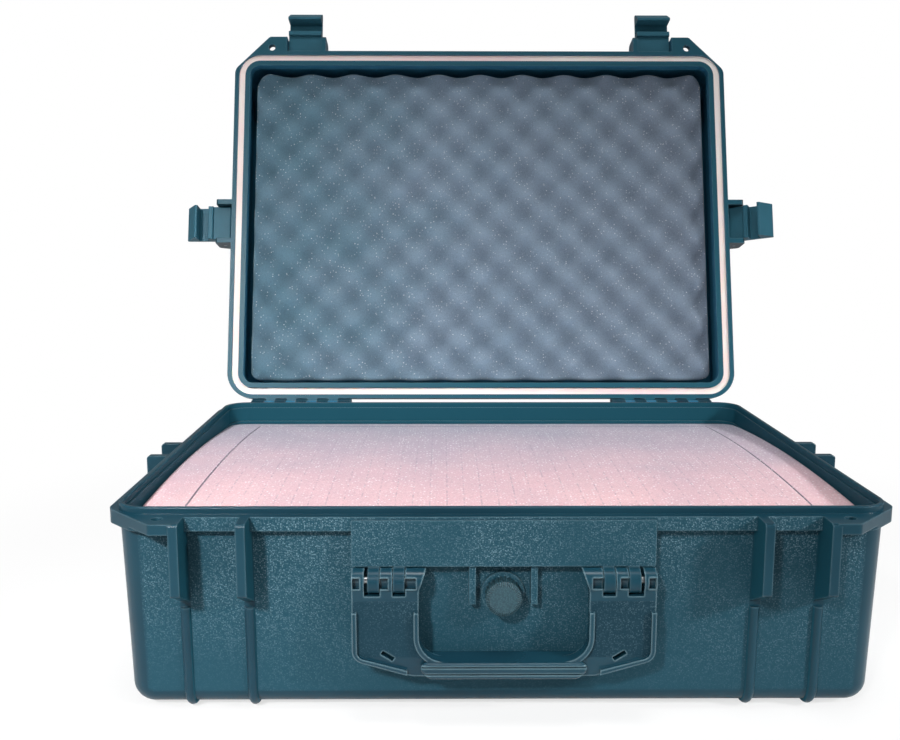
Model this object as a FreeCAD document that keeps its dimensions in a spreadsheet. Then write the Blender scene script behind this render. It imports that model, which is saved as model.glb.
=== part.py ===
# Hard case for a laptop: two moulded shells on rear hinges, closed by four pull latches,
# with a swinging carrying handle, a pressure valve, a seal, and foam in both halves.
# Frame: X runs across the case, -Y is its front and +Z is up. The origin is the middle of
# the base's underside. The lid stands open at the angle lid_open, with its latches swung out.

import FreeCAD
import Part
import math
import os
import re
import Sketcher
from FreeCAD import Vector

# Driving sizes: name, value in millimetres or degrees, what it is.
SIZES = [
    ("case_width", 545, "across the flanges"),
    ("case_depth", 390, "front to back over the flanges"),
    ("base_height", 142, "underside to the base's rim"),
    ("lid_height", 58, "lid's rim to its top"),
    ("wall", 4, "moulded wall of both shells"),
    ("clearance", 0.3, "gap between pieces that move past each other"),
    ("running_fit", 0.05, "radial gap of a pin in its bore"),
    ("overrun", 5, "how far a cut runs past the solid"),
    ("corner_round", 28, "flange's rear corners, seen from above"),
    ("corner_setback", 21.5, "flange's front corners, cut at 45 degrees"),
    ("setback_round", 12, "rounding at both ends of that cut"),
    ("flange_height", 10, "outer flange of both shells"),
    ("flange_overhang", 7, "flange beyond the wall"),
    ("base_taper", 4, "how far the base's wall leans in, top to bottom"),
    ("lid_taper", 2, "how far the lid's wall leans in"),
    ("base_round", 15, "bottom edge of the base"),
    ("lid_round", 14, "top edge of the lid"),
    ("inner_round", 9, "edges of both floors inside"),
    ("step_drop", 14, "ledge inside the base, below its rim"),
    ("step_width", 1.5, "width of that ledge"),
    ("tongue_height", 5, "tongue on the base's rim"),
    ("tongue_width", 3.5, "thickness of the tongue"),
    ("tongue_inset", 8, "tongue's middle, in from the flange's face"),
    ("tongue_edge", 1.2, "rounding of the tongue's top"),
    ("seal_inset", 4.5, "outer edge of the seal's groove"),
    ("seal_width", 7, "width of that groove"),
    ("seal_recess", 2.2, "seal's face below the lid's rim"),
    ("seal_thickness", 4.3, "seal, face to groove floor"),
    ("mouth_inset", 17, "inner edge of the lid's rim"),
    ("mouth_height", 10, "height of the ledge behind the seal's groove"),
    ("hinge_back", 7.5, "hinge axis behind the flanges"),
    ("hinge_drop", 1, "hinge axis below the base's rim"),
    ("hinge_x", 192, "middle of each hinge, from the case's middle"),
    ("hinge_pitch", 22.3, "spacing of the lid's knuckles"),
    ("hinge_width", 10, "width of a lid knuckle"),
    ("hinge_half", 52.5, "half the length of the base's hinge block"),
    ("hinge_radius", 4.9, "outside of the knuckles"),
    ("hinge_pin_radius", 2, "pin in them"),
    ("hinge_arm", 27, "lid arm's root above the hinge axis"),
    ("heel_near", 6, "near end of the stop heel, behind the hinge axis"),
    ("heel_far", 15.3, "far end of the stop heel"),
    ("heel_depth", 5.5, "thickness of the heel"),
    ("block_foot", 32, "foot of the block's gusset below the rim"),
    ("fence_front", 1.5, "block's front edge, inside the flange's back face"),
    ("lid_open", 106, "lid's angle as it stands open"),
    ("latch_x", 196.5, "middle of each front latch"),
    ("latch_width", 36.5, "width of a latch"),
    ("latch_open", 90, "angle of a latch as it stands open"),
    ("latch_open_right", 60, "angle of the right side latch"),
    ("pivot_out", 9, "latch axis in front of the flange"),
    ("pivot_up", 14.9, "latch axis above the lid's rim"),
    ("latch_hub", 5, "latch's inner face, from its axis towards the case"),
    ("latch_pin_radius", 2, "pin in it"),
    ("latch_face", 6, "latch's outer face beyond its axis"),
    ("latch_plate", 4, "thickness of its plate"),
    ("latch_head", 6.5, "latch above its axis"),
    ("latch_tip", 42, "finger edge below the axis"),
    ("latch_hook", 4.5, "hook's reach under the base's flange"),
    ("hook_slack", 1, "hook below the flange that it holds"),
    ("hook_crest", 2.5, "crest of the hook, before it slopes to the finger edge"),
    ("latch_rib_top", 12.5, "stiffening rib, top below the axis"),
    ("latch_rib_height", 5.5, "height of that rib"),
    ("latch_rib_gap", 0.8, "gap from that rib to the flange"),
    ("latch_edge", 1, "rounding of the latch's edges"),
    ("fin_gap", 0.6, "gap between a latch and the fin beside it"),
    ("fin_reach", 17, "fins in front of the flange"),
    ("fin_drop", 50, "front face of a base fin, below the rim"),
    ("fin_foot", 63, "foot of a base fin, below the rim"),
    ("fin_width", 6.5, "thickness of a base fin"),
    ("fin_nose", 2.5, "rounding of a fin's corners"),
    ("lid_fin_width", 5.5, "thickness of a lid fin"),
    ("lid_fin_rise", 24, "front face of a lid fin above the lid's rim"),
    ("lid_fin_root", 36, "lid fin's root above the lid's rim"),
    ("rib_radius", 3.5, "half-round ribs down the wall and under the base"),
    ("rib_sink", 0.4, "rib's middle behind the wall's face"),
    ("rib_top", 75, "where a rib starts under its fin, above the underside"),
    ("rib_back_top", 60, "how far it climbs the rear wall"),
    ("side_rib_run", 30, "how far a side rib runs under the base"),
    ("ear_inner", 53.5, "padlock ear's inner end, in from the side"),
    ("ear_reach", 16.5, "ear in front of the flange"),
    ("ear_thickness", 7.5, "thickness of the ear"),
    ("ear_round", 4, "rounding of the ear's corner"),
    ("ear_blend", 5, "where the ear meets the flange's slanted corner"),
    ("padlock_in", 40.5, "padlock hole in from the side"),
    ("padlock_out", 4, "padlock hole in front of the flange"),
    ("padlock_radius", 3.75, "radius of the padlock hole"),
    ("panel_width", 206, "plain panel over the handle"),
    ("panel_drop", 2, "panel's top below the rim"),
    ("panel_height", 32.5, "height of the panel"),
    ("panel_proud", 1.5, "panel's face in front of the flange"),
    ("panel_edge", 1.5, "rounding of the panel's edges"),
    ("handle_out", 2.5, "handle's axis in front of the flange"),
    ("handle_drop", 43.5, "handle's axis below the rim"),
    ("barrel_radius", 8.5, "handle's knuckles"),
    ("handle_pin_radius", 2.5, "pin in them"),
    ("knuckle_start", 51, "inner end of the first handle knuckle"),
    ("knuckle_inner", 15.5, "length of that knuckle"),
    ("knuckle_base", 7.8, "length of each base knuckle"),
    ("knuckle_middle", 8.5, "length of the second handle knuckle"),
    ("knuckle_outer", 8.5, "length of the third handle knuckle"),
    ("knuckle_gap", 0.4, "gap between knuckles"),
    ("knuckle_web", 1, "base knuckle's link to the panel"),
    ("handle_side", 53.5, "handle's lower corner below its axis"),
    ("handle_length", 66, "bottom of the grip below the axis"),
    ("handle_foot", 62, "half width of the handle's bottom"),
    ("handle_gap", 57.5, "half width of the finger gap"),
    ("grip_height", 11.5, "grip, top to bottom"),
    ("grip_front", 12.5, "grip in front of the axis"),
    ("grip_back", 9.5, "grip behind the axis"),
    ("grip_round", 4, "rounding along the grip"),
    ("grip_end", 65, "half length of the thick grip"),
    ("plate_top", 9.3, "handle's plates start below the axis"),
    ("plate_front", 6.5, "plates' face in front of the axis"),
    ("plate_back", 0.5, "plates' back behind the axis"),
    ("plate_corner", 9, "outer lower corner of the handle"),
    ("foot_corner", 14, "next corner"),
    ("gap_corner", 17, "corners of the finger gap"),
    ("bead_width", 3.4, "raised border of the plates"),
    ("bead_height", 3, "height of that border"),
    ("bead_top", 20, "border starts below the axis"),
    ("lip_height", 2.3, "lip along the top of the grip's front"),
    ("bar_height", 4, "upper half of the double bar below that lip"),
    ("groove_width", 1, "grooves between the lip and the bars"),
    ("groove_depth", 2, "depth of those grooves"),
    ("window_in", 73.7, "slanted slot in the plate: inner end"),
    ("window_run", 8.1, "slot's length, measured level"),
    ("window_fall", 5, "slot's inner end is this much lower"),
    ("window_top", 47.6, "slot's outer end below the axis"),
    ("window_height", 2.6, "height of the slot"),
    ("window_lean", 1.8, "lean of the slot's ends"),
    ("core_height", 7.6, "square recess in the front of each handle knuckle"),
    ("core_wall", 1.2, "wall left round the pin's bore behind that recess"),
    ("core_inner", 7.2, "recess in the first knuckle, along the axis"),
    ("core_middle", 5.6, "recess in the second knuckle"),
    ("core_outer", 4.8, "recess in the third knuckle"),
    ("core_end", 0.8, "wall at the outer end of the third recess"),
    ("valve_drop", 56, "valve's axis below the rim"),
    ("boss_radius", 15, "flat boss round the valve"),
    ("boss_front", 6, "boss's outer face behind the flange's face"),
    ("boss_back", 15, "boss's inner face behind the flange's face"),
    ("bush_radius", 7, "sleeve of the valve bush"),
    ("bush_bore", 4.2, "bore of the bush"),
    ("bush_flange", 9, "radius of the bush's flange"),
    ("bush_flange_thickness", 1.5, "thickness of it"),
    ("bush_end", 22.5, "inner end of the bush, behind the flange's face"),
    ("washer_radius", 12, "washer under the nut"),
    ("washer_thickness", 1.5, "thickness of the washer"),
    ("nut_radius", 11.5, "nut, across its corners"),
    ("nut_thickness", 5, "thickness of the nut"),
    ("membrane_depth", 20, "membrane behind the flange's face"),
    ("membrane_thickness", 0.8, "thickness of the membrane"),
    ("knob_radius", 12.25, "valve knob"),
    ("knob_reach", 8, "knob in front of the flange"),
    ("knob_dome", 0.8, "crown of its face"),
    ("knob_skirt_gap", 0.5, "gap from the knob's skirt to the boss"),
    ("knob_skirt", 2.4, "wall of the skirt"),
    ("knob_inner", 2.6, "knob's inner face behind the flange's face"),
    ("knob_stem_end", 18, "end of the stem"),
    ("knurl_radius", 1.1, "grooves round the knob"),
    ("knurl_start", 5, "grooves start behind the knob's face"),
    ("ring_radius", 6.5, "O-ring, middle of its section"),
    ("ring_section", 0.8, "radius of its section"),
    ("guard_in", 18.7, "guard rib beside the knob"),
    ("guard_width", 4.8, "thickness of the guard rib"),
    ("guard_height", 28, "height of the guard rib"),
    ("guard_back", 1, "guard's face behind the flange's face"),
    ("foam_gap", 0.5, "foam's gap to the walls"),
    ("floor_foam", 10, "pad under the foam block"),
    ("floor_inset", 28, "pad's edge in from the flange's face"),
    ("crown_front", 12, "foam's front edge below the rim"),
    ("crown_back", 18, "foam's rear edge below the rim"),
    ("crown_radius", 2000, "crown of the foam's top"),
    ("score_x", 222, "long score lines of the foam"),
    ("score_back", 24, "cross score line from the foam's rear wall"),
    ("score_width", 1.2, "width of a score"),
    ("score_depth", 26, "scores end below the rim"),
    ("valve_room", 3, "room round the valve nut in the foam"),
    ("lid_foam_side", 22.5, "lid foam's edge in from the flange's face"),
    ("lid_foam_peak", 12, "peaks above the lid's rim"),
    ("lid_foam_pit", 24, "hollows above the lid's rim"),
    ("foam_pitch", 23.6, "peak to hollow"),
]

# Corner radii that must stay just under a full half round, as a share of it.
ROUND_SHARE = 0.97
# Sides of the valve nut and grooves round the knob.
NUT_SIDES = 6
KNURL_COUNT = 24
# Middles of the lid's knuckles on each hinge, from the hinge's own middle, as shares of the pitch.
KNUCKLE_SHARES = (-1.5, -0.5, 0.5, 1.5)
# A length of nothing, with a length's unit, for planes and walls that start at the origin.
NO_OFFSET = "0 * wall"

doc = FreeCAD.newDocument("LaptopCase")
sheet = doc.addObject("Spreadsheet::Sheet", "Sizes")
for row, (alias, number, note) in enumerate(SIZES, start=1):
    sheet.set(f"A{row}", alias)
    sheet.set(f"B{row}", str(number))
    sheet.set(f"C{row}", note)
    sheet.setAlias(f"B{row}", alias)
doc.recompute()

ALIASES = {alias for alias, number, note in SIZES}

# Levels and planes that many pieces share, as sums of the sizes.
SIDE = "(case_width / 2)"
FRONT = "(-case_depth / 2)"
BACK = "(case_depth / 2)"
RIM = "base_height"
WALL_TOP = "(base_height - flange_height)"
RIM_GAP = "(tongue_height + clearance - seal_recess)"
LID_RIM = f"(base_height + {RIM_GAP})"
LID_TOP = f"({LID_RIM} + lid_height)"
HINGE_Y = "(case_depth / 2 + hinge_back)"
HINGE_Z = "(base_height - hinge_drop)"
IN_WALL = "(flange_overhang + wall / 2)"
FIN_IN = "(latch_width / 2 + fin_gap)"
LID_PLACE = (
    f"placement(vector(0; {HINGE_Y}; {HINGE_Z}); rotation(vector(1; 0; 0); -lid_open))"
    f" * placement(vector(0; -{HINGE_Y}; -{HINGE_Z}); rotation(vector(1; 0; 0); 0))"
)


def linked(text):
    """Turn a sum of size names into an expression on the sheet."""
    return re.sub(
        r"[a-z]\w*",
        lambda found: f"Sizes.{found.group()}" if found.group() in ALIASES else found.group(),
        text,
    )


def size(text):
    """Work out a sum of size names."""
    return float(sheet.evalExpression(linked(text)))


def new_body(name, place=None):
    """Start a piece; place is a placement written in size names."""
    body = doc.addObject("PartDesign::Body", name)
    body.Label = name
    if place:
        body.setExpression("Placement", linked(place))
    return body


def origin_part(body, role):
    return next(item for item in body.Origin.OriginFeatures if item.Role == role)


def sketch_on(body, name, role, away):
    """Start a sketch that lies `away` from one of the body's own planes."""
    sketch = body.newObject("Sketcher::SketchObject", name)
    sketch.AttachmentSupport = [(origin_part(body, role), "")]
    sketch.MapMode = "FlatFace"
    sketch.setExpression("AttachmentOffset.Base.z", linked(away))
    return sketch


def pin_down(sketch, geometry, point, spot):
    """Hold a sketch point at a place written in size names."""
    for kind, text, axis in (("DistanceX", spot[0], -2), ("DistanceY", spot[1], -1)):
        if text == "0":
            sketch.addConstraint(Sketcher.Constraint("PointOnObject", geometry, point, axis))
        else:
            index = sketch.addConstraint(Sketcher.Constraint(kind, -1, 1, geometry, point, size(text)))
            sketch.setExpression(f"Constraints[{index}]", linked(text))


def draw_arc(sketch, before, after, spot, radius):
    """Add the arc that rounds a corner; say which of its ends comes first along the outline."""
    half = before.getAngle(after) / 2
    middle = spot + (before + after).normalize() * (radius / math.sin(half))
    entry = spot + before * (radius / math.tan(half))
    leave = spot + after * (radius / math.tan(half))
    left_turn = before.cross(after).z < 0
    first, last = (entry, leave) if left_turn else (leave, entry)
    start = math.atan2(first.y - middle.y, first.x - middle.x)
    end = math.atan2(last.y - middle.y, last.x - middle.x)
    circle = Part.Circle(middle, Vector(0, 0, 1), radius)
    number = sketch.addGeometry(Part.ArcOfCircle(circle, start, end))
    return number, (1, 2) if left_turn else (2, 1)


def draw(sketch, corners, closed=True):
    """Draw straight lines through corners (across, up[, radius]) written in size names."""
    count = len(corners)
    spots = [Vector(size(corner[0]), size(corner[1]), 0) for corner in corners]
    before = [(spots[n - 1] - spots[n]).normalize() for n in range(count)]
    after = [(spots[(n + 1) % count] - spots[n]).normalize() for n in range(count)]
    cut_back = [0.0] * count
    for n, corner in enumerate(corners):
        if len(corner) > 2:
            cut_back[n] = size(corner[2]) / math.tan(before[n].getAngle(after[n]) / 2)
    first = sketch.GeometryCount
    line_count = count if closed else count - 1
    for n in range(line_count):
        following = (n + 1) % count
        start = spots[n] + after[n] * cut_back[n]
        end = spots[following] + before[following] * cut_back[following]
        sketch.addGeometry(Part.LineSegment(start, end))
    for n, corner in enumerate(corners):
        incoming = first + (n - 1) % line_count
        outgoing = first + n % line_count
        if not closed and n in (0, count - 1):
            end_point = (outgoing, 1) if n == 0 else (incoming, 2)
            pin_down(sketch, *end_point, corner)
        elif len(corner) > 2:
            arc, ends = draw_arc(sketch, before[n], after[n], spots[n], size(corner[2]))
            mark = sketch.addGeometry(Part.Point(spots[n]), True)
            sketch.addConstraint(Sketcher.Constraint("Tangent", incoming, 2, arc, ends[0]))
            sketch.addConstraint(Sketcher.Constraint("Tangent", arc, ends[1], outgoing, 1))
            index = sketch.addConstraint(Sketcher.Constraint("Radius", arc, size(corner[2])))
            sketch.setExpression(f"Constraints[{index}]", linked(corner[2]))
            sketch.addConstraint(Sketcher.Constraint("PointOnObject", mark, 1, incoming))
            sketch.addConstraint(Sketcher.Constraint("PointOnObject", mark, 1, outgoing))
            pin_down(sketch, mark, 1, corner)
        else:
            sketch.addConstraint(Sketcher.Constraint("Coincident", incoming, 2, outgoing, 1))
            pin_down(sketch, outgoing, 1, corner)


def draw_circle(sketch, across, up, radius):
    middle = Vector(size(across), size(up), 0)
    number = sketch.addGeometry(Part.Circle(middle, Vector(0, 0, 1), size(radius)))
    index = sketch.addConstraint(Sketcher.Constraint("Radius", number, size(radius)))
    sketch.setExpression(f"Constraints[{index}]", linked(radius))
    pin_down(sketch, number, 3, (across, up))


def draw_all(sketch, loops):
    """A loop is a list of corners, or a circle as (across, up, radius)."""
    for loop in loops:
        if isinstance(loop, tuple):
            draw_circle(sketch, *loop)
        else:
            draw(sketch, loop)


def settle(body, feature, before, cut):
    """Compute a feature and make sure that it added or removed material."""
    doc.recompute()
    change = body.Shape.Volume - before
    if (change >= 0) if cut else (change <= 0):
        raise RuntimeError(f"{body.Label}: {feature.Name} changed the volume by {change}")
    return feature


def volume_of(body):
    return 0.0 if body.Shape.isNull() else body.Shape.Volume


def extrude(body, name, role, away, length, *loops, cut=False):
    """Pad or cut loops along the normal of one of the body's planes."""
    before = volume_of(body)
    sketch = sketch_on(body, f"{name}Sketch", role, away)
    draw_all(sketch, loops)
    feature = body.newObject("PartDesign::Pocket" if cut else "PartDesign::Pad", name)
    feature.Profile = sketch
    feature.setExpression("Length", linked(length))
    feature.Reversed = cut
    return settle(body, feature, before, cut)


def upward(body, name, floor, height, *loops, cut=False):
    """Loops seen from above (X, Y), extruded up from a level."""
    return extrude(body, name, "XY_Plane", floor, height, *loops, cut=cut)


def sideways(body, name, start, width, *loops, cut=False):
    """Loops seen from the right (Y, Z), extruded towards +X."""
    return extrude(body, name, "YZ_Plane", start, width, *loops, cut=cut)


def forward(body, name, start, depth, *loops, cut=False):
    """Loops seen from the front (X, Z), extruded towards the front from the plane y = start."""
    return extrude(body, name, "XZ_Plane", f"-({start})", depth, *loops, cut=cut)


def loft(body, name, sections, cut=False):
    """A drafted solid through outlines at two levels."""
    before = volume_of(body)
    sketches = []
    for number, (level, corners) in enumerate(sections):
        sketch = sketch_on(body, f"{name}Section{number}", "XY_Plane", level)
        draw(sketch, corners)
        sketches.append(sketch)
    kind = "PartDesign::SubtractiveLoft" if cut else "PartDesign::AdditiveLoft"
    feature = body.newObject(kind, name)
    feature.Profile = sketches[0]
    feature.Sections = sketches[1:]
    feature.Ruled = True
    return settle(body, feature, before, cut)


def fillet(body, name, radius, wanted):
    """Round the edges of the body that the test `wanted` picks."""
    base = body.Tip
    names = [f"Edge{n}" for n, edge in enumerate(base.Shape.Edges, start=1) if wanted(edge)]
    if not names:
        raise RuntimeError(f"{body.Label}: {name} found no edge")
    feature = body.newObject("PartDesign::Fillet", name)
    feature.Base = (base, names)
    feature.setExpression("Radius", linked(radius))
    doc.recompute()
    return feature


def mirrored(body, name, features, role="YZ_Plane"):
    """Repeat features on the other side of a plane of the body."""
    feature = body.newObject("PartDesign::Mirrored", name)
    feature.Originals = features
    feature.MirrorPlane = (origin_part(body, role), [""])
    body.Tip = feature
    doc.recompute()
    return feature


def turned(body, name, corners):
    """Revolve an outline (radius, distance along Y) about the body's Y axis."""
    before = volume_of(body)
    sketch = sketch_on(body, f"{name}Sketch", "XY_Plane", NO_OFFSET)
    draw(sketch, corners)
    feature = body.newObject("PartDesign::Revolution", name)
    feature.Profile = sketch
    feature.ReferenceAxis = (sketch, ["V_Axis"])
    return settle(body, feature, before, False)


def swept_rib(body, name, plane, away, start, path):
    """Sweep a round rib along a path; start is the middle of its first section."""
    before = volume_of(body)
    section = sketch_on(body, f"{name}Section", "XY_Plane", start[2])
    draw_circle(section, start[0], start[1], "rib_radius")
    spine = sketch_on(body, f"{name}Path", plane, away)
    draw(spine, path, closed=False)
    feature = body.newObject("PartDesign::AdditivePipe", name)
    feature.Profile = section
    feature.Spine = spine
    return settle(body, feature, before, False)


def rounded(inset):
    """The case's outline seen from above, drawn in by an inset, with all corners round."""
    side = f"({SIDE} - ({inset}))"
    end = f"({BACK} - ({inset}))"
    corner = f"max(corner_round - ({inset}); inner_round / 2)"
    return [
        (f"-{side}", f"-{end}", corner),
        (side, f"-{end}", corner),
        (side, end, corner),
        (f"-{side}", end, corner),
    ]


def flange_outline():
    """Outline of both flanges: the front corners are cut at 45 degrees."""
    cut = f"({SIDE} - corner_setback)"
    side_front = f"({FRONT} + corner_setback)"
    return [
        (f"-{cut}", FRONT, "setback_round"),
        (cut, FRONT, "setback_round"),
        (SIDE, side_front, "setback_round"),
        (SIDE, BACK, "corner_round"),
        (f"-{SIDE}", BACK, "corner_round"),
        (f"-{SIDE}", side_front, "setback_round"),
    ]


def box_loop(left, low, right, high):
    return [(left, low), (right, low), (right, high), (left, high)]


def wall_inset(level):
    """Outer face of the base's wall at a level, in from the flange's face."""
    return f"(flange_overhang + base_taper * (1 - ({level}) / {WALL_TOP}))"


def ear_loop(inner):
    """Padlock ear seen from above; its outer end follows the flange's slanted corner."""
    nose = f"({FRONT} - ear_reach)"
    root = f"({FRONT} + flange_overhang)"
    return [
        (inner, root),
        (inner, nose),
        (f"{SIDE} - corner_setback - ear_reach", nose, "ear_round"),
        (f"{SIDE} - ear_blend", f"{FRONT} + corner_setback - ear_blend"),
        (f"{SIDE} - ear_blend - flange_overhang", f"{FRONT} + corner_setback"),
        (f"{SIDE} - corner_setback - flange_overhang", root),
    ]


def padlock_hole():
    return (f"{SIDE} - padlock_in", f"{FRONT} - padlock_out", "padlock_radius")


def front_out(distance):
    """A place in front of the flange's front face."""
    return f"({FRONT} - ({distance}))"


def side_out(distance):
    """A place beyond the flange's right face."""
    return f"({SIDE} + ({distance}))"


def base_fin_loop(out):
    """Fin beside a latch: level top, upright face, slanted foot."""
    return [
        (out(f"-{IN_WALL}"), f"{RIM} - fin_foot"),
        (out("fin_reach"), f"{RIM} - fin_drop", "fin_nose"),
        (out("fin_reach"), RIM, "fin_nose"),
        (out(f"-{IN_WALL}"), RIM),
    ]


def lid_fin_loop(out):
    """Fin of the lid that carries one end of a latch pin."""
    return [
        (out(f"-{IN_WALL}"), LID_RIM),
        (out("fin_reach"), LID_RIM, "fin_nose"),
        (out("fin_reach"), f"{LID_RIM} + lid_fin_rise", "fin_nose * 2"),
        (out(f"-{IN_WALL}"), f"{LID_RIM} + lid_fin_root"),
    ]


def level_edge(edge, level):
    """True for an edge that lies flat at a level."""
    box = edge.BoundBox
    return abs(box.ZMin - level) < size("clearance") / 10 and abs(box.ZMax - level) < size("clearance") / 10


def base_ribs(body):
    """Ribs that run down from the front fins, under the base and up the rear wall."""
    ribs = []
    for name, sign in (("Outer", "+"), ("Inner", "-")):
        middle = f"(latch_x {sign} ({FIN_IN} + fin_width / 2))"
        front_top = f"({FRONT} + {wall_inset('rib_top')} + rib_sink)"
        front_low = f"({FRONT} + {wall_inset('0')} + rib_sink)"
        back_low = f"({BACK} - {wall_inset('0')} - rib_sink)"
        back_top = f"({BACK} - {wall_inset('rib_back_top')} - rib_sink)"
        path = [
            (front_top, "rib_top"),
            (front_low, "rib_sink", "base_round - rib_sink"),
            (back_low, "rib_sink", "base_round - rib_sink"),
            (back_top, "rib_back_top"),
        ]
        start = (middle, front_top, "rib_top")
        ribs.append(swept_rib(body, f"FrontRib{name}", "YZ_Plane", middle, start, path))
    for name, sign in (("Front", "-"), ("Rear", "+")):
        middle = f"({sign}({FIN_IN} + fin_width / 2))"
        side_top = f"({SIDE} - {wall_inset('rib_top')} - rib_sink)"
        side_low = f"({SIDE} - {wall_inset('0')} - rib_sink)"
        path = [
            (side_top, "rib_top"),
            (side_low, "rib_sink", "base_round - rib_sink"),
            (f"{side_low} - side_rib_run", "rib_sink"),
        ]
        start = (side_top, middle, "rib_top")
        ribs.append(swept_rib(body, f"SideRib{name}", "XZ_Plane", f"-{middle}", start, path))
    return ribs


def base_fins(body):
    """Two fins beside the right front latch and two beside the right side latch."""
    outer = f"latch_x + {FIN_IN}"
    inner = f"latch_x - {FIN_IN} - fin_width"
    fins = [
        sideways(body, "FinOuter", outer, "fin_width", base_fin_loop(front_out)),
        sideways(body, "FinInner", inner, "fin_width", base_fin_loop(front_out)),
        forward(body, "SideFinFront", f"-{FIN_IN}", "fin_width", base_fin_loop(side_out)),
        forward(body, "SideFinRear", f"{FIN_IN} + fin_width", "fin_width", base_fin_loop(side_out)),
    ]
    return fins


def hinge_block(body):
    """Rear block with the base's knuckles, slots for the lid's, and the heel that stops the lid."""
    # The open lid's back face leans over the heel, which follows it a clearance below.
    lid_face = f"({RIM_GAP} + hinge_drop)"
    face_y = f"({HINGE_Y} - hinge_back * cos(lid_open) + {lid_face} * sin(lid_open))"
    face_z = f"({HINGE_Z} + hinge_back * sin(lid_open) + {lid_face} * cos(lid_open))"

    def heel_top(distance):
        """Level of the heel at a distance behind the hinge axis."""
        run = f"({HINGE_Y} + {distance} - {face_y})"
        return f"({face_z} + {run} / tan(lid_open) - clearance / sin(lid_open))"

    far = f"({HINGE_Y} + heel_far)"
    near = f"({HINGE_Y} + heel_near)"
    fence = f"({BACK} - fence_front)"
    fence_top = f"({LID_RIM} - clearance)"
    section = [
        (f"{BACK} - {IN_WALL}", f"{RIM} - block_foot"),
        (far, f"{heel_top('heel_far')} - heel_depth"),
        (far, heel_top("heel_far")),
        (near, heel_top("heel_near")),
        (f"{HINGE_Y} - hinge_radius / 2", f"{HINGE_Z} + hinge_radius"),
        (f"{HINGE_Y} - hinge_radius - clearance", fence_top),
        (fence, fence_top),
        (fence, f"{RIM} - flange_height / 2"),
    ]
    block = sideways(body, "HingeBlock", "hinge_x - hinge_half", "hinge_half * 2", section)
    slots = []
    for share in KNUCKLE_SHARES:
        middle = f"(hinge_x + {share} * hinge_pitch)"
        half = "(hinge_width / 2 + clearance)"
        front = f"({HINGE_Y} - hinge_radius - clearance)"
        slots.append(box_loop(f"{middle} - {half}", front, f"{middle} + {half}", f"{far} + overrun"))
    floor = f"{HINGE_Z} - hinge_radius - clearance"
    slot = upward(body, "HingeSlots", floor, "hinge_radius * 2 + overrun * 4", *slots, cut=True)
    bore = sideways(
        body, "HingeBore", "hinge_x - hinge_half - overrun", "(hinge_half + overrun) * 2",
        (HINGE_Y, HINGE_Z, "hinge_pin_radius + running_fit"), cut=True,
    )
    return [block, slot, bore]


def handle_knuckles(body):
    """Base knuckles of the handle's right side, hung from the front panel."""
    axis_y = f"({FRONT} - handle_out)"
    axis_z = f"({RIM} - handle_drop)"
    root = f"({FRONT} + {IN_WALL})"
    round_end = f"barrel_radius * {ROUND_SHARE}"
    section = [
        (root, f"{axis_z} - barrel_radius"),
        (f"{axis_y} - barrel_radius", f"{axis_z} - barrel_radius", round_end),
        (f"{axis_y} - barrel_radius", f"{axis_z} + barrel_radius", round_end),
        (axis_y, f"{axis_z} + barrel_radius"),
        (axis_y, f"{axis_z} + barrel_radius + knuckle_web"),
        (root, f"{axis_z} + barrel_radius + knuckle_web"),
    ]
    first = "knuckle_start + knuckle_inner + knuckle_gap"
    second = f"{first} + knuckle_base + knuckle_middle + knuckle_gap * 2"
    features = [
        sideways(body, "KnuckleInner", first, "knuckle_base", section),
        sideways(body, "KnuckleOuter", second, "knuckle_base", section),
        sideways(
            body, "KnuckleBore", "knuckle_start", "panel_width / 2 - knuckle_start",
            (axis_y, axis_z, "handle_pin_radius + running_fit"), cut=True,
        ),
    ]
    return features


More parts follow.
